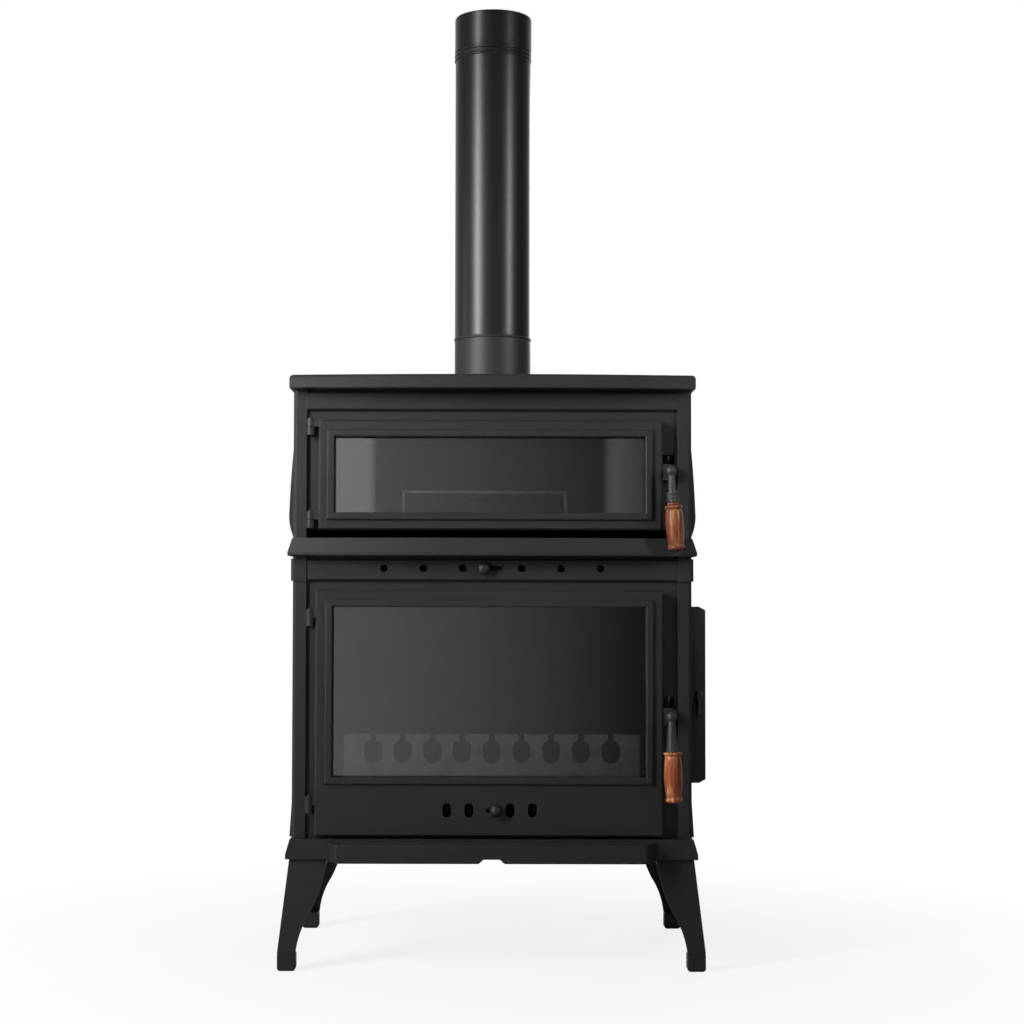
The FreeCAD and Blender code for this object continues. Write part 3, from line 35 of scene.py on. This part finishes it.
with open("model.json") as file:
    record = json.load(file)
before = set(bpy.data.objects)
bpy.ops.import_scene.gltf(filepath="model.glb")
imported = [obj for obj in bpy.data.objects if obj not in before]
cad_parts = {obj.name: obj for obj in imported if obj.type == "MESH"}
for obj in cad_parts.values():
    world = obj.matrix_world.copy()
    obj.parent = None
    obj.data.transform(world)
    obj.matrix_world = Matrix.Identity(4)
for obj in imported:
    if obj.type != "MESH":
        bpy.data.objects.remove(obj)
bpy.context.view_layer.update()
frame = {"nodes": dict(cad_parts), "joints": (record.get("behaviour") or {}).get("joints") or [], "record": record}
nodes = frame["nodes"]
BODIES = frame["record"]["behaviour"]["bodies"]
BODY_OF = {node: body for body, members in BODIES.items() for node in members}
SLOT_OF = {item["node"]: item["material_slot"] for item in frame["record"]["subparts"]}
MM = 0.001


def placed(name, data):
    made = bpy.data.objects.new(name, data)
    bpy.context.scene.collection.objects.link(made)
    return made


def dress(piece, material):
    piece.data.materials.clear()
    piece.data.materials.append(material)


# Shader writing

def grey(level):
    return (level, level, level, 1)


class Wire:
    """A shader socket that takes part in arithmetic; each operation adds a Math node."""

    def __init__(self, finish, socket):
        self.finish = finish
        self.socket = socket

    def math(self, operation, *terms):
        return self.finish.node("ShaderNodeMath", {"operation": operation}, dict(enumerate(terms)))

    def __add__(self, other):
        return self.math("ADD", self, other)

    def __radd__(self, other):
        return self.math("ADD", other, self)

    def __sub__(self, other):
        return self.math("SUBTRACT", self, other)

    def __rsub__(self, other):
        return self.math("SUBTRACT", other, self)

    def __mul__(self, other):
        return self.math("MULTIPLY", self, other)

    def __rmul__(self, other):
        return self.math("MULTIPLY", other, self)

    def __abs__(self):
        return self.math("ABSOLUTE", self)

    def clipped(self):
        return self.finish.node("ShaderNodeClamp", {}, {"Value": self})


class Finish:
    """A surface finish: a material, its shader, and one method that adds any node."""

    def __init__(self, name, holder=None, **constants):
        self.holder = holder or bpy.data.materials.new(name)
        self.holder.use_nodes = True
        self.tree = self.holder.node_tree
        self.shader = self.tree.nodes.get("Principled BSDF")
        self.surface(**constants)

    def feed(self, node, key, value):
        if isinstance(key, int):
            socket = node.inputs[key]
        else:
            socket = next(item for item in node.inputs if key in (item.identifier, item.name))
        if isinstance(value, Wire):
            self.tree.links.new(value.socket, socket)
        else:
            socket.default_value = value

    def node(self, kind, settings, inputs, output=0):
        made = self.tree.nodes.new(kind)
        for key, value in settings.items():
            if key == "stops":
                self.stops(made.color_ramp, value)
            else:
                setattr(made, key, value)
        for key, value in inputs.items():
            self.feed(made, key, value)
        return Wire(self, made.outputs[output])

    def stops(self, ramp, stops):
        while len(ramp.elements) < len(stops):
            ramp.elements.new(1)
        for element, (place, level) in zip(ramp.elements, stops):
            element.position = place
            element.color = grey(level)

    def place(self):
        """Where a point is on the stove, in metres."""
        return self.node("ShaderNodeTexCoord", {}, {}, "Object")

    def along(self, axis):
        return self.node("ShaderNodeSeparateXYZ", {}, {"Vector": self.place()}, axis)

    def stretched(self, x, y, z):
        settings = {"operation": "MULTIPLY"}
        return self.node("ShaderNodeVectorMath", settings, {0: self.place(), 1: (x, y, z)})

    def noise(self, scale, detail=2, rough=0.5, vector=None):
        inputs = {"Vector": vector or self.place(), "Scale": scale, "Detail": detail, "Roughness": rough}
        return self.node("ShaderNodeTexNoise", {}, inputs, "Fac")

    def ramp(self, value, *stops):
        """A grey level that follows a value through stops, each a place and its level."""
        return self.node("ShaderNodeValToRGB", {"stops": stops}, {"Fac": value})

    def mix(self, share, first, second):
        settings = {"data_type": "RGBA"}
        inputs = {"Factor_Float": share, "A_Color": first, "B_Color": second}
        return self.node("ShaderNodeMix", settings, inputs, 2)

    def bump(self, height, strength, distance, normal=None):
        inputs = {"Height": height, "Strength": strength, "Distance": distance}
        if normal:
            inputs["Normal"] = normal
        return self.node("ShaderNodeBump", {}, inputs)

    def edge(self, radius):
        """How sharply the surface turns within a radius: nothing on a flat, rising along an edge."""
        rounded = self.node("ShaderNodeBevel", {"samples": 4}, {"Radius": radius})
        flat = self.node("ShaderNodeNewGeometry", {}, {}, "Normal")
        settings = {"operation": "DOT_PRODUCT"}
        return 1 - self.node("ShaderNodeVectorMath", settings, {0: rounded, 1: flat}, "Value")

    def seen(self, *rays):
        """One where a ray of these kinds looks, else nothing."""
        looks = [self.node("ShaderNodeLightPath", {}, {}, ray) for ray in rays]
        return sum(looks[1:], looks[0]).clipped()

    def blend(self, share, first, second):
        return self.node("ShaderNodeMixShader", {}, {0: share, 1: first, 2: second})

    def paint(self):
        return Wire(self, self.shader.outputs[0])

    def surface(self, **sockets):
        for key, value in sockets.items():
            self.feed(self.shader, key.replace("_", " "), value)
        return self.holder

    def shows(self, whole):
        end = next(node for node in self.tree.nodes if node.type.startswith("OUTPUT"))
        self.feed(end, "Surface", whole)
        return self.holder


# Finishes

IRON_SHADE = 0.012
IRON_DARK = grey(IRON_SHADE * 0.75)
IRON_LIGHT = grey(IRON_SHADE * 1.3)
IRON_DUSTY = grey(IRON_SHADE * 2.2)
IRON_RUBBED = grey(IRON_SHADE * 3.2)
RUBBED_EDGE = 2.2 * MM
# Near-black painted shade for the groove below the oven door
GROOVE_PAINTED_BLACK = grey(0.0008)
GROOVE_DEPTH = 9 * MM
GROOVE_HEIGHT = 14 * MM
GROOVE_REACH = 299 * MM
LINER_SHADE = 0.05
# The fence's own pale grey, lifted further as painted light for the dim firebox
FENCE_SHADE = 0.6
RACK_WIRE = 3 * MM
WIRE_LINES = 1500
WOOD_TONES = {
    "heart": (0.26, 0.066, 0.025),
    "band": (0.15, 0.034, 0.014),
    "gold": (0.37, 0.15, 0.05),
    "line": (0.085, 0.021, 0.01),
    "pore": (0.05, 0.013, 0.007),
}
GLASS_IOR = 1.5
GLASS_TINT = (0.93, 0.94, 0.94, 1)


def stove_iron(name="stove_iron", groove=False):
    """Satin black stove paint over fine sand-cast iron, a little paler where edges are rubbed."""
    paint = Finish(name, Specular_IOR_Level=0.28)
    cloud = paint.noise(scale=7, detail=4, rough=0.6)
    grain = paint.noise(scale=900, detail=3, rough=0.6)
    pits = paint.noise(scale=260)
    worn = (paint.edge(RUBBED_EDGE) * 2.2 * (cloud + 0.2)).clipped()
    speck = paint.ramp(grain, (0.45, 0), (0.72, 1))
    base = paint.mix(cloud, IRON_DARK, IRON_LIGHT)
    dusty = paint.mix(speck * 0.35, base, IRON_DUSTY)
    colour = paint.mix(worn * 0.55, dusty, IRON_RUBBED)
    rough = 0.5 + (cloud - 0.5) * 0.16 + (grain - 0.5) * 0.12 - worn * 0.1
    coarse = paint.bump(pits, strength=0.2, distance=0.5 * MM)
    normal = paint.bump(grain, strength=0.32, distance=0.16 * MM, normal=coarse)
    # Painted shade: the groove below the oven door is painted near-black, with its shine damped
    if groove:
        groove_shade = groove_painted_shade(paint)
        colour = paint.mix(groove_shade, colour, GROOVE_PAINTED_BLACK)
        paint.surface(Metallic=groove_shade)
    return paint.surface(Base_Color=colour, Roughness=rough, Normal=normal)


def groove_painted_shade(paint):
    """One inside the groove below the oven door, where shade is painted as near-black iron, else nothing."""
    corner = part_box("oven_front")[0]
    inward = (paint.along("Y") - corner.y) * (1 / GROOVE_DEPTH)
    upward = (paint.along("Z") - corner.z) * (0.5 / GROOVE_HEIGHT)
    sideways = abs(paint.along("X")) * (0.5 / GROOVE_REACH)
    low = paint.ramp(upward, (0.485, 1), (0.52, 0))
    between_posts = paint.ramp(sideways, (0.498, 1), (0.502, 0))
    return paint.ramp(inward, (0.2, 0), (0.45, 1)) * (low * between_posts)


def flue_black():
    """Satin heat-proof paint on rolled pipe, speckled and faintly streaked along its length."""
    paint = Finish("flue_black", Specular_IOR_Level=0.24)
    speck = paint.noise(scale=520, detail=4, rough=0.7)
    streak = paint.noise(scale=26, detail=3, vector=paint.stretched(1, 1, 0.06))
    cloud = paint.noise(scale=5, detail=3, rough=0.55)
    dots = paint.ramp(speck, (0.55, 0), (0.75, 1))
    base = paint.mix(cloud, grey(0.006), grey(0.01))
    colour = paint.mix(dots * 0.5, base, grey(0.035))
    rough = 0.33 + (streak - 0.5) * 0.1 + (speck - 0.5) * 0.2
    normal = paint.bump(speck, strength=0.35, distance=0.14 * MM)
    return paint.surface(Base_Color=colour, Roughness=rough, Normal=normal)


def bare_iron(name, shade):
    """Fire-side iron with soot in its pores."""
    iron = Finish(name, Metallic=0.2)
    cloud = iron.noise(scale=11, detail=4, rough=0.6)
    grain = iron.noise(scale=700, detail=3, rough=0.6)
    dark = grey(shade * 0.7)
    light = grey(shade * 1.3)
    base = iron.mix(iron.ramp(cloud, (0.3, 0), (0.7, 1)), dark, light)
    colour = iron.mix(iron.ramp(grain, (0.5, 0), (0.8, 1)), base, dark)
    rough = 0.6 + grain * 0.25
    normal = iron.bump(grain, strength=0.2, distance=0.1 * MM)
    return iron.surface(Base_Color=colour, Roughness=rough, Normal=normal)


def oven_sheet():
    """Smooth sheet with slight marks, painted pale on the oven's side walls as painted light and dark elsewhere as
    painted shade.
    """
    sheet = Finish("oven_sheet", Metallic=0.3)
    cloud = sheet.noise(scale=9, detail=3)
    scuff = sheet.noise(scale=160, detail=4, rough=0.7, vector=sheet.stretched(1, 0.15, 1))
    # Painted light: faces turned sideways get the pale sheet, the rest the dark one
    facing = sheet.node("ShaderNodeNewGeometry", {}, {}, "Normal")
    side = abs(sheet.node("ShaderNodeSeparateXYZ", {}, {"Vector": facing}, "X"))
    dark = sheet.mix(cloud, grey(0.045), grey(0.07))
    bright = sheet.mix(cloud, grey(0.32), grey(0.42))
    colour = sheet.mix(side, dark, bright)
    rough = 0.42 + scuff * 0.2
    normal = sheet.bump(scuff, strength=0.08, distance=0.1 * MM)
    return sheet.surface(Base_Color=colour, Roughness=rough, Normal=normal)


def handle_steel():
    """Turned steel with a dull grey finish and fine lathe lines."""
    steel = Finish("handle_steel", Metallic=0.5, Specular_IOR_Level=0.3)
    line = steel.noise(scale=1300, vector=steel.stretched(0.05, 0.05, 1))
    cloud = steel.noise(scale=40, detail=3)
    colour = steel.mix(cloud, grey(0.034), grey(0.06))
    rough = 0.46 + line * 0.16 + (cloud - 0.5) * 0.1
    normal = steel.bump(line, strength=0.15, distance=0.05 * MM)
    return steel.surface(Base_Color=colour, Roughness=rough, Normal=normal)


def bright_steel():
    """Plated wire and pins with fine drawing lines."""
    steel = Finish("bright_steel", Metallic=1.0)
    line = steel.noise(scale=WIRE_LINES, vector=steel.stretched(1, 0.05, 0.05))
    colour = steel.mix(line, grey(0.5), grey(0.72))
    return steel.surface(Base_Color=colour, Roughness=0.22 + line * 0.18)


def rack_wire():
    """Plated wire, with a painted highlight along its front hoop and painted shade on the wire behind it."""
    wire = Finish("rack_wire", Metallic=0.1, Specular_IOR_Level=0.9)
    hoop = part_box("oven_rack")[0].y
    # Painted highlight on the front hoop, painted shade on the wire behind it
    shade_behind = wire.ramp((wire.along("Y") - hoop) * (0.1 / RACK_WIRE), (0.16, 0), (0.4, 1))
    line = wire.noise(scale=WIRE_LINES, vector=wire.stretched(0.05, 1, 0.05))
    bright = wire.mix(line, grey(0.85), grey(0.97))
    dull = wire.mix(line, grey(0.03), grey(0.06))
    colour = wire.mix(shade_behind, bright, dull)
    return wire.surface(Base_Color=colour, Roughness=0.26 + line * 0.14 + shade_behind * 0.3)


def seal_rope():
    """Woven glass-fibre rope."""
    rope = Finish("seal_rope")
    twist = {"Vector": rope.place(), "Scale": 260.0, "Distortion": 1.5}
    weave = rope.node("ShaderNodeTexWave", {"bands_direction": "DIAGONAL"}, twist)
    colour = rope.mix(weave, grey(0.42), grey(0.7))
    normal = rope.bump(weave, strength=0.6, distance=0.6 * MM)
    return rope.surface(Base_Color=colour, Roughness=0.9 - weave * 0.1, Normal=normal)


def grip_wood(name="grip_wood", painted_light_scale=1.0):
    """Varnished reddish hardwood with its grain along the grip."""
    wood = Finish(name, Coat_Roughness=0.12, Coat_IOR=1.5, Specular_IOR_Level=0.2)
    # The wood tones are scaled as painted light; above one paints the grip lighter
    tones = {part: (*[level * painted_light_scale for level in rgb], 1) for part, rgb in WOOD_TONES.items()}
    grain = wood.noise(scale=240, detail=4, rough=0.6, vector=wood.stretched(1, 1, 0.07))
    band = wood.noise(scale=70, detail=3, vector=wood.stretched(1, 1, 0.16))
    flame = wood.noise(scale=62, vector=wood.stretched(1, 1, 0.3))
    pore = wood.noise(scale=900, vector=wood.stretched(1, 1, 0.05))
    pores = wood.ramp(pore, (0.55, 0), (0.72, 1))
    banded = wood.mix(band, tones["heart"], tones["band"])
    pale = wood.mix(wood.ramp(flame, (0.47, 0), (0.62, 1)), banded, tones["gold"])
    lined = wood.mix(wood.ramp(grain, (0.4, 0), (0.65, 1)), pale, tones["line"])
    colour = wood.mix(pores * 0.7, lined, tones["pore"])
    rough = 0.34 + grain * 0.18
    coat = 0.2 - pores * 0.12
    normal = wood.bump(grain, strength=0.12, distance=0.2 * MM)
    return wood.surface(Base_Color=colour, Roughness=rough, Coat_Weight=coat, Normal=normal)


def door_glass():
    """Clear heat-proof glass: see-through, with a mirror-like face."""
    glass = Finish("door_glass", Base_Color=grey(0.0), Roughness=0.02)
    through = glass.node("ShaderNodeBsdfTransparent", {}, {"Color": GLASS_TINT})
    shine = glass.node("ShaderNodeBsdfGlossy", {}, {"Roughness": 0.03})
    smear = glass.noise(scale=5, vector=glass.stretched(1, 1, 2))
    gloss = glass.node("ShaderNodeFresnel", {}, {"IOR": GLASS_IOR})
    return glass.shows(glass.blend((gloss * 1.35 + smear * 0.006).clipped(), through, shine))


FINISHES = {
    "stove_iron": stove_iron(),
    "flue_black": flue_black(),
    "door_glass": door_glass(),
    "grip_wood": grip_wood(),
    "seal_rope": seal_rope(),
    "bright_steel": bright_steel(),
    "liner_iron": bare_iron("bare_iron", LINER_SHADE),
    "oven_sheet": oven_sheet(),
    "handle_steel": handle_steel(),
}
OWN_FINISH = {
    "log_fence": bare_iron("fence_iron", FENCE_SHADE),
    # The oven front carries painted shade in the groove below its door
    "oven_front": stove_iron("oven_front_iron", groove=True),
    "oven_rack": rack_wire(),
}

for name, node in nodes.items():
    dress(node, OWN_FINISH.get(name, FINISHES[SLOT_OF[name]]))


# Cast pieces with eased edges, each with the width of its rounding in millimetres

EASED = {
    "base_plate": 2.0,
    "ash_lip": 2.0,
    "front_left_leg": 2.0,
    "front_right_leg": 2.0,
    "rear_left_leg": 2.0,
    "rear_right_leg": 2.0,
    "foot_pads": 2.0,
    "firebox_front": 1.2,
    "oven_front": 1.2,
    "firebox_door_frame": 1.0,
    "oven_door_frame": 1.0,
    "firebox_left_side": 1.5,
    "firebox_right_side": 1.0,
    "oven_left_side": 1.5,
    "oven_right_side": 1.5,
    "firebox_back": 1.5,
    "oven_back": 1.5,
    "side_door_panel": 2.0,
    "log_fence": 1.2,
}
SAME_POINT = 0.002 * MM
SAME_FACE = math.radians(0.5)
SHARP_EDGE = math.radians(32)
EASED_STEPS = 2


def eased(name, width):
    """A casting with the small rounding that its edges have, in place of its sharp solid."""
    piece = placed(name + "_cast", nodes[name].data.copy())
    mesh = bmesh.new()
    mesh.from_mesh(piece.data)
    bmesh.ops.remove_doubles(mesh, verts=mesh.verts, dist=SAME_POINT)
    bmesh.ops.dissolve_limit(mesh, angle_limit=SAME_FACE, verts=mesh.verts, edges=mesh.edges)
    mesh.to_mesh(piece.data)
    mesh.free()
    bevel = piece.modifiers.new("eased", "BEVEL")
    bevel.width = width * MM
    bevel.segments = EASED_STEPS
    bevel.limit_method = "ANGLE"
    bevel.angle_limit = SHARP_EDGE
    piece.data.shade_smooth()
    soft = piece.modifiers.new("normals", "WEIGHTED_NORMAL")
    soft.keep_sharp = True
    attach(piece, BODY_OF[name])
    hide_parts(name)


for name, width in EASED.items():
    eased(name, width)


# Turned pieces, each profile a row of radii and distances in millimetres, or shares of the grip's length

GRIP_LEAN = {"firebox": math.radians(2), "oven": math.radians(4)}
# The firebox grip's wood is painted lighter than the oven grip's as painted light, making up for the light it
# lacks
GRIP_PAINTED_LIGHT = {"firebox": 1.8, "oven": 1.0}
GRIP_LENGTH = {"firebox": 81, "oven": 76}
NECK_LENGTH = {"firebox": 55, "oven": 51}
GRIP_AROUND = 40
GRIP_CORE = 3.7
GRIP_STEP = 0.3
ROUNDING = 2
GRIP_COLLAR = {
    "firebox": ((GRIP_CORE, 0),),
    "oven": ((GRIP_CORE, 0), (8.4, 0), (9.4, 0.7), (9.4, 2.8), (8.4, 3.6), (8.2, 4.2)),
}
GRIP_RIM = (
    (12.4, 0), (13.9, 0.7), (14.5, 1.9), (14.5, 3.6),
    (13.9, 4.8), (12.2, 5.6), (11.9, 6.6), (12.6, 8.2),
)
GRIP_BELLY_SHARES = (
    (13.4, 0.2), (14.2, 0.32), (14.7, 0.44), (14.7, 0.54),
    (14.2, 0.66), (13.3, 0.77), (12.3, 0.855),
)
GRIP_FOOT_SHARES = (
    (11.9, 0.875), (11.8, 0.887), (12.5, 0.897), (13.3, 0.91), (13.6, 0.94),
    (13.3, 0.965), (11.8, 0.985), (8.6, 1.0), (GRIP_CORE, 1.0),
)
FERRULE = (
    (6.5, 33), (8.6, 33), (9.5, 34), (9.5, 37.5), (8.8, 38.5),
    (8.8, 39.3), (9.7, 40.3), (9.7, 43.8), (9.0, 44.8),
    (9.0, 45.4), (9.9, 46.4), (9.9, 49.4), (9.2, 50.4), (6.5, 50.4),
)


def lathe(name, profile, placing, around=GRIP_AROUND):
    """A closed turning, its profile given as radius and distance down its axis."""
    turns = [math.tau * step / around for step in range(around)]
    mesh = bmesh.new()
    rings = []
    for radius, down in profile:
        points = [(radius * math.cos(turn) * MM, radius * math.sin(turn) * MM, -down * MM) for turn in turns]
        rings.append([mesh.verts.new(point) for point in points])
    for ring, following in zip(rings, rings[1:] + rings[:1]):
        for place in range(around):
            after = (place + 1) % around
            mesh.faces.new((ring[place], ring[after], following[after], following[place]))
    bmesh.ops.recalc_face_normals(mesh, faces=mesh.faces)
    mesh.transform(placing)
    piece = placed(name, bpy.data.meshes.new(name))
    mesh.to_mesh(piece.data)
    mesh.free()
    piece.data.shade_smooth()
    rounded = piece.modifiers.new("round", "SUBSURF")
    rounded.levels = ROUNDING
    rounded.render_levels = ROUNDING
    return piece


def turned(name, profile, door):
    """A turning about the handle's leaning axis, measured down from the pivot."""
    pivot = next(joint["pos_m"] for joint in frame["joints"] if joint["name"] == door + "_handle_turn")
    low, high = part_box(door + "_handle_grip")
    lean = Matrix.Rotation(-GRIP_LEAN[door], 4, "Y")
    piece = lathe(name, profile, Matrix.Translation((pivot[0], (low.y + high.y) / 2, pivot[2])) @ lean)
    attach(piece, door + "_handle")
    return piece


def grip(door):
    """The turned wooden grip: a rim, a neck, a belly, a second neck and a rounded foot.

    The oven's grip has a collar above its rim.
    """
    collar = GRIP_COLLAR[door]
    start = collar[-1][1] + GRIP_STEP
    rim = [(radius, start + along) for radius, along in GRIP_RIM]
    shares = GRIP_BELLY_SHARES + GRIP_FOOT_SHARES
    lower = [(radius, share * GRIP_LENGTH[door]) for radius, share in shares]
    profile = [(radius, NECK_LENGTH[door] + along) for radius, along in [*collar, *rim, *lower]]
    piece = turned(door + "_grip_turning", profile, door)
    dress(piece, grip_wood(door + "_grip_wood", GRIP_PAINTED_LIGHT[door]))
    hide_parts(door + "_handle_grip")


def ferrule(door):
    """Three raised rings where the neck meets the grip."""
    piece = turned(door + "_ferrule", FERRULE, door)
    dress(piece, FINISHES["handle_steel"])


grip("firebox")
grip("oven")
ferrule("oven")


# Joint of the flue pipes

FLUE_AROUND = 96
FLUE_SLEEVE = (
    (64.6, 0.6), (65.4, 0.6), (65.9, 1.2), (65.9, 3), (65.9, 30), (65.9, 56),
    (66.4, 57.6), (66.4, 59.6), (65.6, 60.4), (65.1, 60.8), (65.1, 62.4),
)
FLUE_BEADS = (
    (65.4, 63.2), (66.6, 64.4), (66.9, 65.6), (66.6, 66.8), (65.4, 68), (65.1, 69),
    (65.4, 70), (66.5, 71.2), (66.8, 72.4), (66.5, 73.6), (65.3, 74.8), (64.6, 75.4),
)


def flue_joint():
    """The upper pipe's sleeve over the lower pipe, with two rolled beads below its lip."""
    low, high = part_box("flue_upper_pipe")
    middle = (low + high) / 2
    placing = Matrix.Translation((middle.x, middle.y, high.z))
    piece = lathe("flue_joint", FLUE_SLEEVE + FLUE_BEADS, placing, FLUE_AROUND)
    dress(piece, FINISHES["flue_black"])
    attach(piece, BODY_OF["flue_upper_pipe"])


flue_joint()


# Studio

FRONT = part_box("firebox_door_frame")[0].y
EYE_HEIGHT = 0.576
EYE_DISTANCE = 3.2
EYE_ROLL = math.radians(0.12)
EYE_PITCH = math.radians(2)
LEVEL = math.radians(90)
LENS = 70.15
SENSOR = 36
SHIFT = (0.0194, 0.0268)
ROOM = 0.1
ROOM_BACK = ((0.4, ROOM), (0.95, 1.0))
FLOOR_REACH = 8
FLOOR_FADE = ((0.2, 0.84), (0.6, 1.0))
CARD_REACH = 2.4
CARD_HEIGHT = 3.8
CARD_GAP = 0.3
CARD_GLOW = 2.2

# Levels on the card, by shares of its width or height

CARD_SIDE = ((0.33, 0.0), (0.37, 0.455), (0.6, 0.045), (0.68, 0.0))
CARD_TOP = ((0.36, 1.0), (0.5, 0.08))
PANE_HEIGHT = ((0.2, 0), (0.21, 1), (0.33, 1), (0.34, 0))
LEFT_PANE = ((0.386, 0), (0.389, 1), (0.414, 1), (0.417, 0))
RIGHT_PANE = ((0.5805, 0), (0.5825, 1), (0.604, 0.5), (0.612, 0.4))
LEFT_PANE_GREY = grey(0.86)
RIGHT_PANE_GREY = grey(0.37)


def camera():
    eye = placed("eye", bpy.data.cameras.new("eye"))
    eye.location = (0, FRONT - EYE_DISTANCE, EYE_HEIGHT)
    eye.rotation_euler = (LEVEL + EYE_PITCH, -EYE_ROLL, 0)
    eye.data.lens = LENS
    eye.data.sensor_width = SENSOR
    eye.data.shift_x, eye.data.shift_y = SHIFT
    bpy.context.scene.camera = eye


def lamp(name, place, target, size, power, spread=180):
    light = bpy.data.lights.new(name, "AREA")
    light.shape = "RECTANGLE"
    light.size, light.size_y = size
    light.energy = power
    light.spread = math.radians(spread)
    made = placed(name, light)
    made.location = place
    made.rotation_euler = (Vector(target) - Vector(place)).to_track_quat("-Z", "Y").to_euler()


def studio():
    """A tall soft strip on the left, two narrow lights for the oven and the pipe, and two fills."""
    lamp("left_strip", place=(-1.6, -1.5, 1.5), target=(0, 0, 1.2), size=(0.3, 1.9), power=52)
    lamp("oven_light", place=(-1.45, -1.4, 1.5), target=(-0.15, -0.2, 1.0), size=(0.7, 0.7), power=3.2,
         spread=45)
    lamp("pipe_light", place=(1.5, -1.25, 1.5), target=(0.1, 0, 1.15), size=(0.25, 0.8), power=3, spread=60)
    lamp("left_side", place=(-2.1, 0.1, 0.9), target=(0, 0, 0.6), size=(0.6, 1.4), power=6)
    lamp("back_fill", place=(0.9, 2.4, 1.7), target=(0, 0.2, 0.7), size=(0.9, 0.9), power=14)


def backdrop():
    """A white backdrop behind the stove, and a dim room in front that lights it from all around."""
    world = bpy.data.worlds.new("studio")
    bpy.context.scene.world = world
    room = Finish("studio", world)
    beyond = room.seen("Is Camera Ray", "Is Transmission Ray")
    mirrored = room.seen("Is Glossy Ray")
    way = room.node("ShaderNodeTexCoord", {}, {}, "Generated")
    back = room.node("ShaderNodeSeparateXYZ", {}, {"Vector": way}, "Y")
    behind = room.ramp(back, *ROOM_BACK)
    level = beyond + (1 - beyond) * (mirrored * behind + (1 - mirrored) * ROOM)
    room.shows(room.node("ShaderNodeBackground", {}, {"Color": grey(1.0), "Strength": level}))


def sheet(name, *corners):
    """A flat four-cornered stage piece that faces the side its corners run round anticlockwise."""
    mesh = bpy.data.meshes.new(name)
    mesh.from_pydata(corners, [], [range(len(corners))])
    made = placed(name, mesh)
    return made


def floor():
    """A pale floor that keeps the stove's shadow and turns into the white backdrop further out."""
    far = FLOOR_REACH
    made = sheet("floor", (-far, -far, 0), (far, -far, 0), (far, far, 0), (-far, far, 0))
    pale = Finish("floor", Roughness=0.95, Base_Color=grey(0.9), Specular_IOR_Level=0.0)
    dull = pale.node("ShaderNodeBsdfDiffuse", {}, {"Color": grey(0.05)})
    white = pale.node("ShaderNodeEmission", {}, {"Color": grey(1.0)})
    away = pale.node("ShaderNodeVectorMath", {"operation": "LENGTH"}, {0: pale.place()}, "Value")
    fade = pale.ramp(away * 0.5, *FLOOR_FADE)
    mirrored = pale.blend(pale.seen("Is Glossy Ray"), dull, pale.paint())
    looked_at = pale.seen("Is Camera Ray", "Is Transmission Ray")
    dress(made, pale.shows(pale.blend(looked_at, mirrored, pale.blend(fade, pale.paint(), white))))


def reflector():
    """A tall card behind the camera for the glass to mirror: paler low down on the left, with two panes."""
    back = FRONT - EYE_DISTANCE - CARD_GAP
    left, right = -CARD_REACH, CARD_REACH
    top = CARD_HEIGHT
    made = sheet("reflector", (left, back, top), (right, back, top), (right, back, 0), (left, back, 0))
    made.visible_camera = False
    card = Finish("reflector", Base_Color=grey(0.0), Roughness=1.0, Specular_IOR_Level=0.0)
    across = (card.along("X") + CARD_REACH) * (0.5 / CARD_REACH)
    up = card.along("Z") * (1 / CARD_HEIGHT)
    plain = card.mix(card.ramp(up, *CARD_TOP), grey(0.0), card.ramp(across, *CARD_SIDE))
    tall = card.ramp(up, *PANE_HEIGHT)
    with_left = card.mix(card.ramp(across, *LEFT_PANE) * tall, plain, LEFT_PANE_GREY)
    with_both = card.mix(card.ramp(across, *RIGHT_PANE) * tall, with_left, RIGHT_PANE_GREY)
    dress(made, card.surface(Emission_Strength=CARD_GLOW, Emission_Color=with_both))


camera()
studio()
backdrop()
floor()
reflector()
bpy.context.scene.view_settings.view_transform = "Standard"
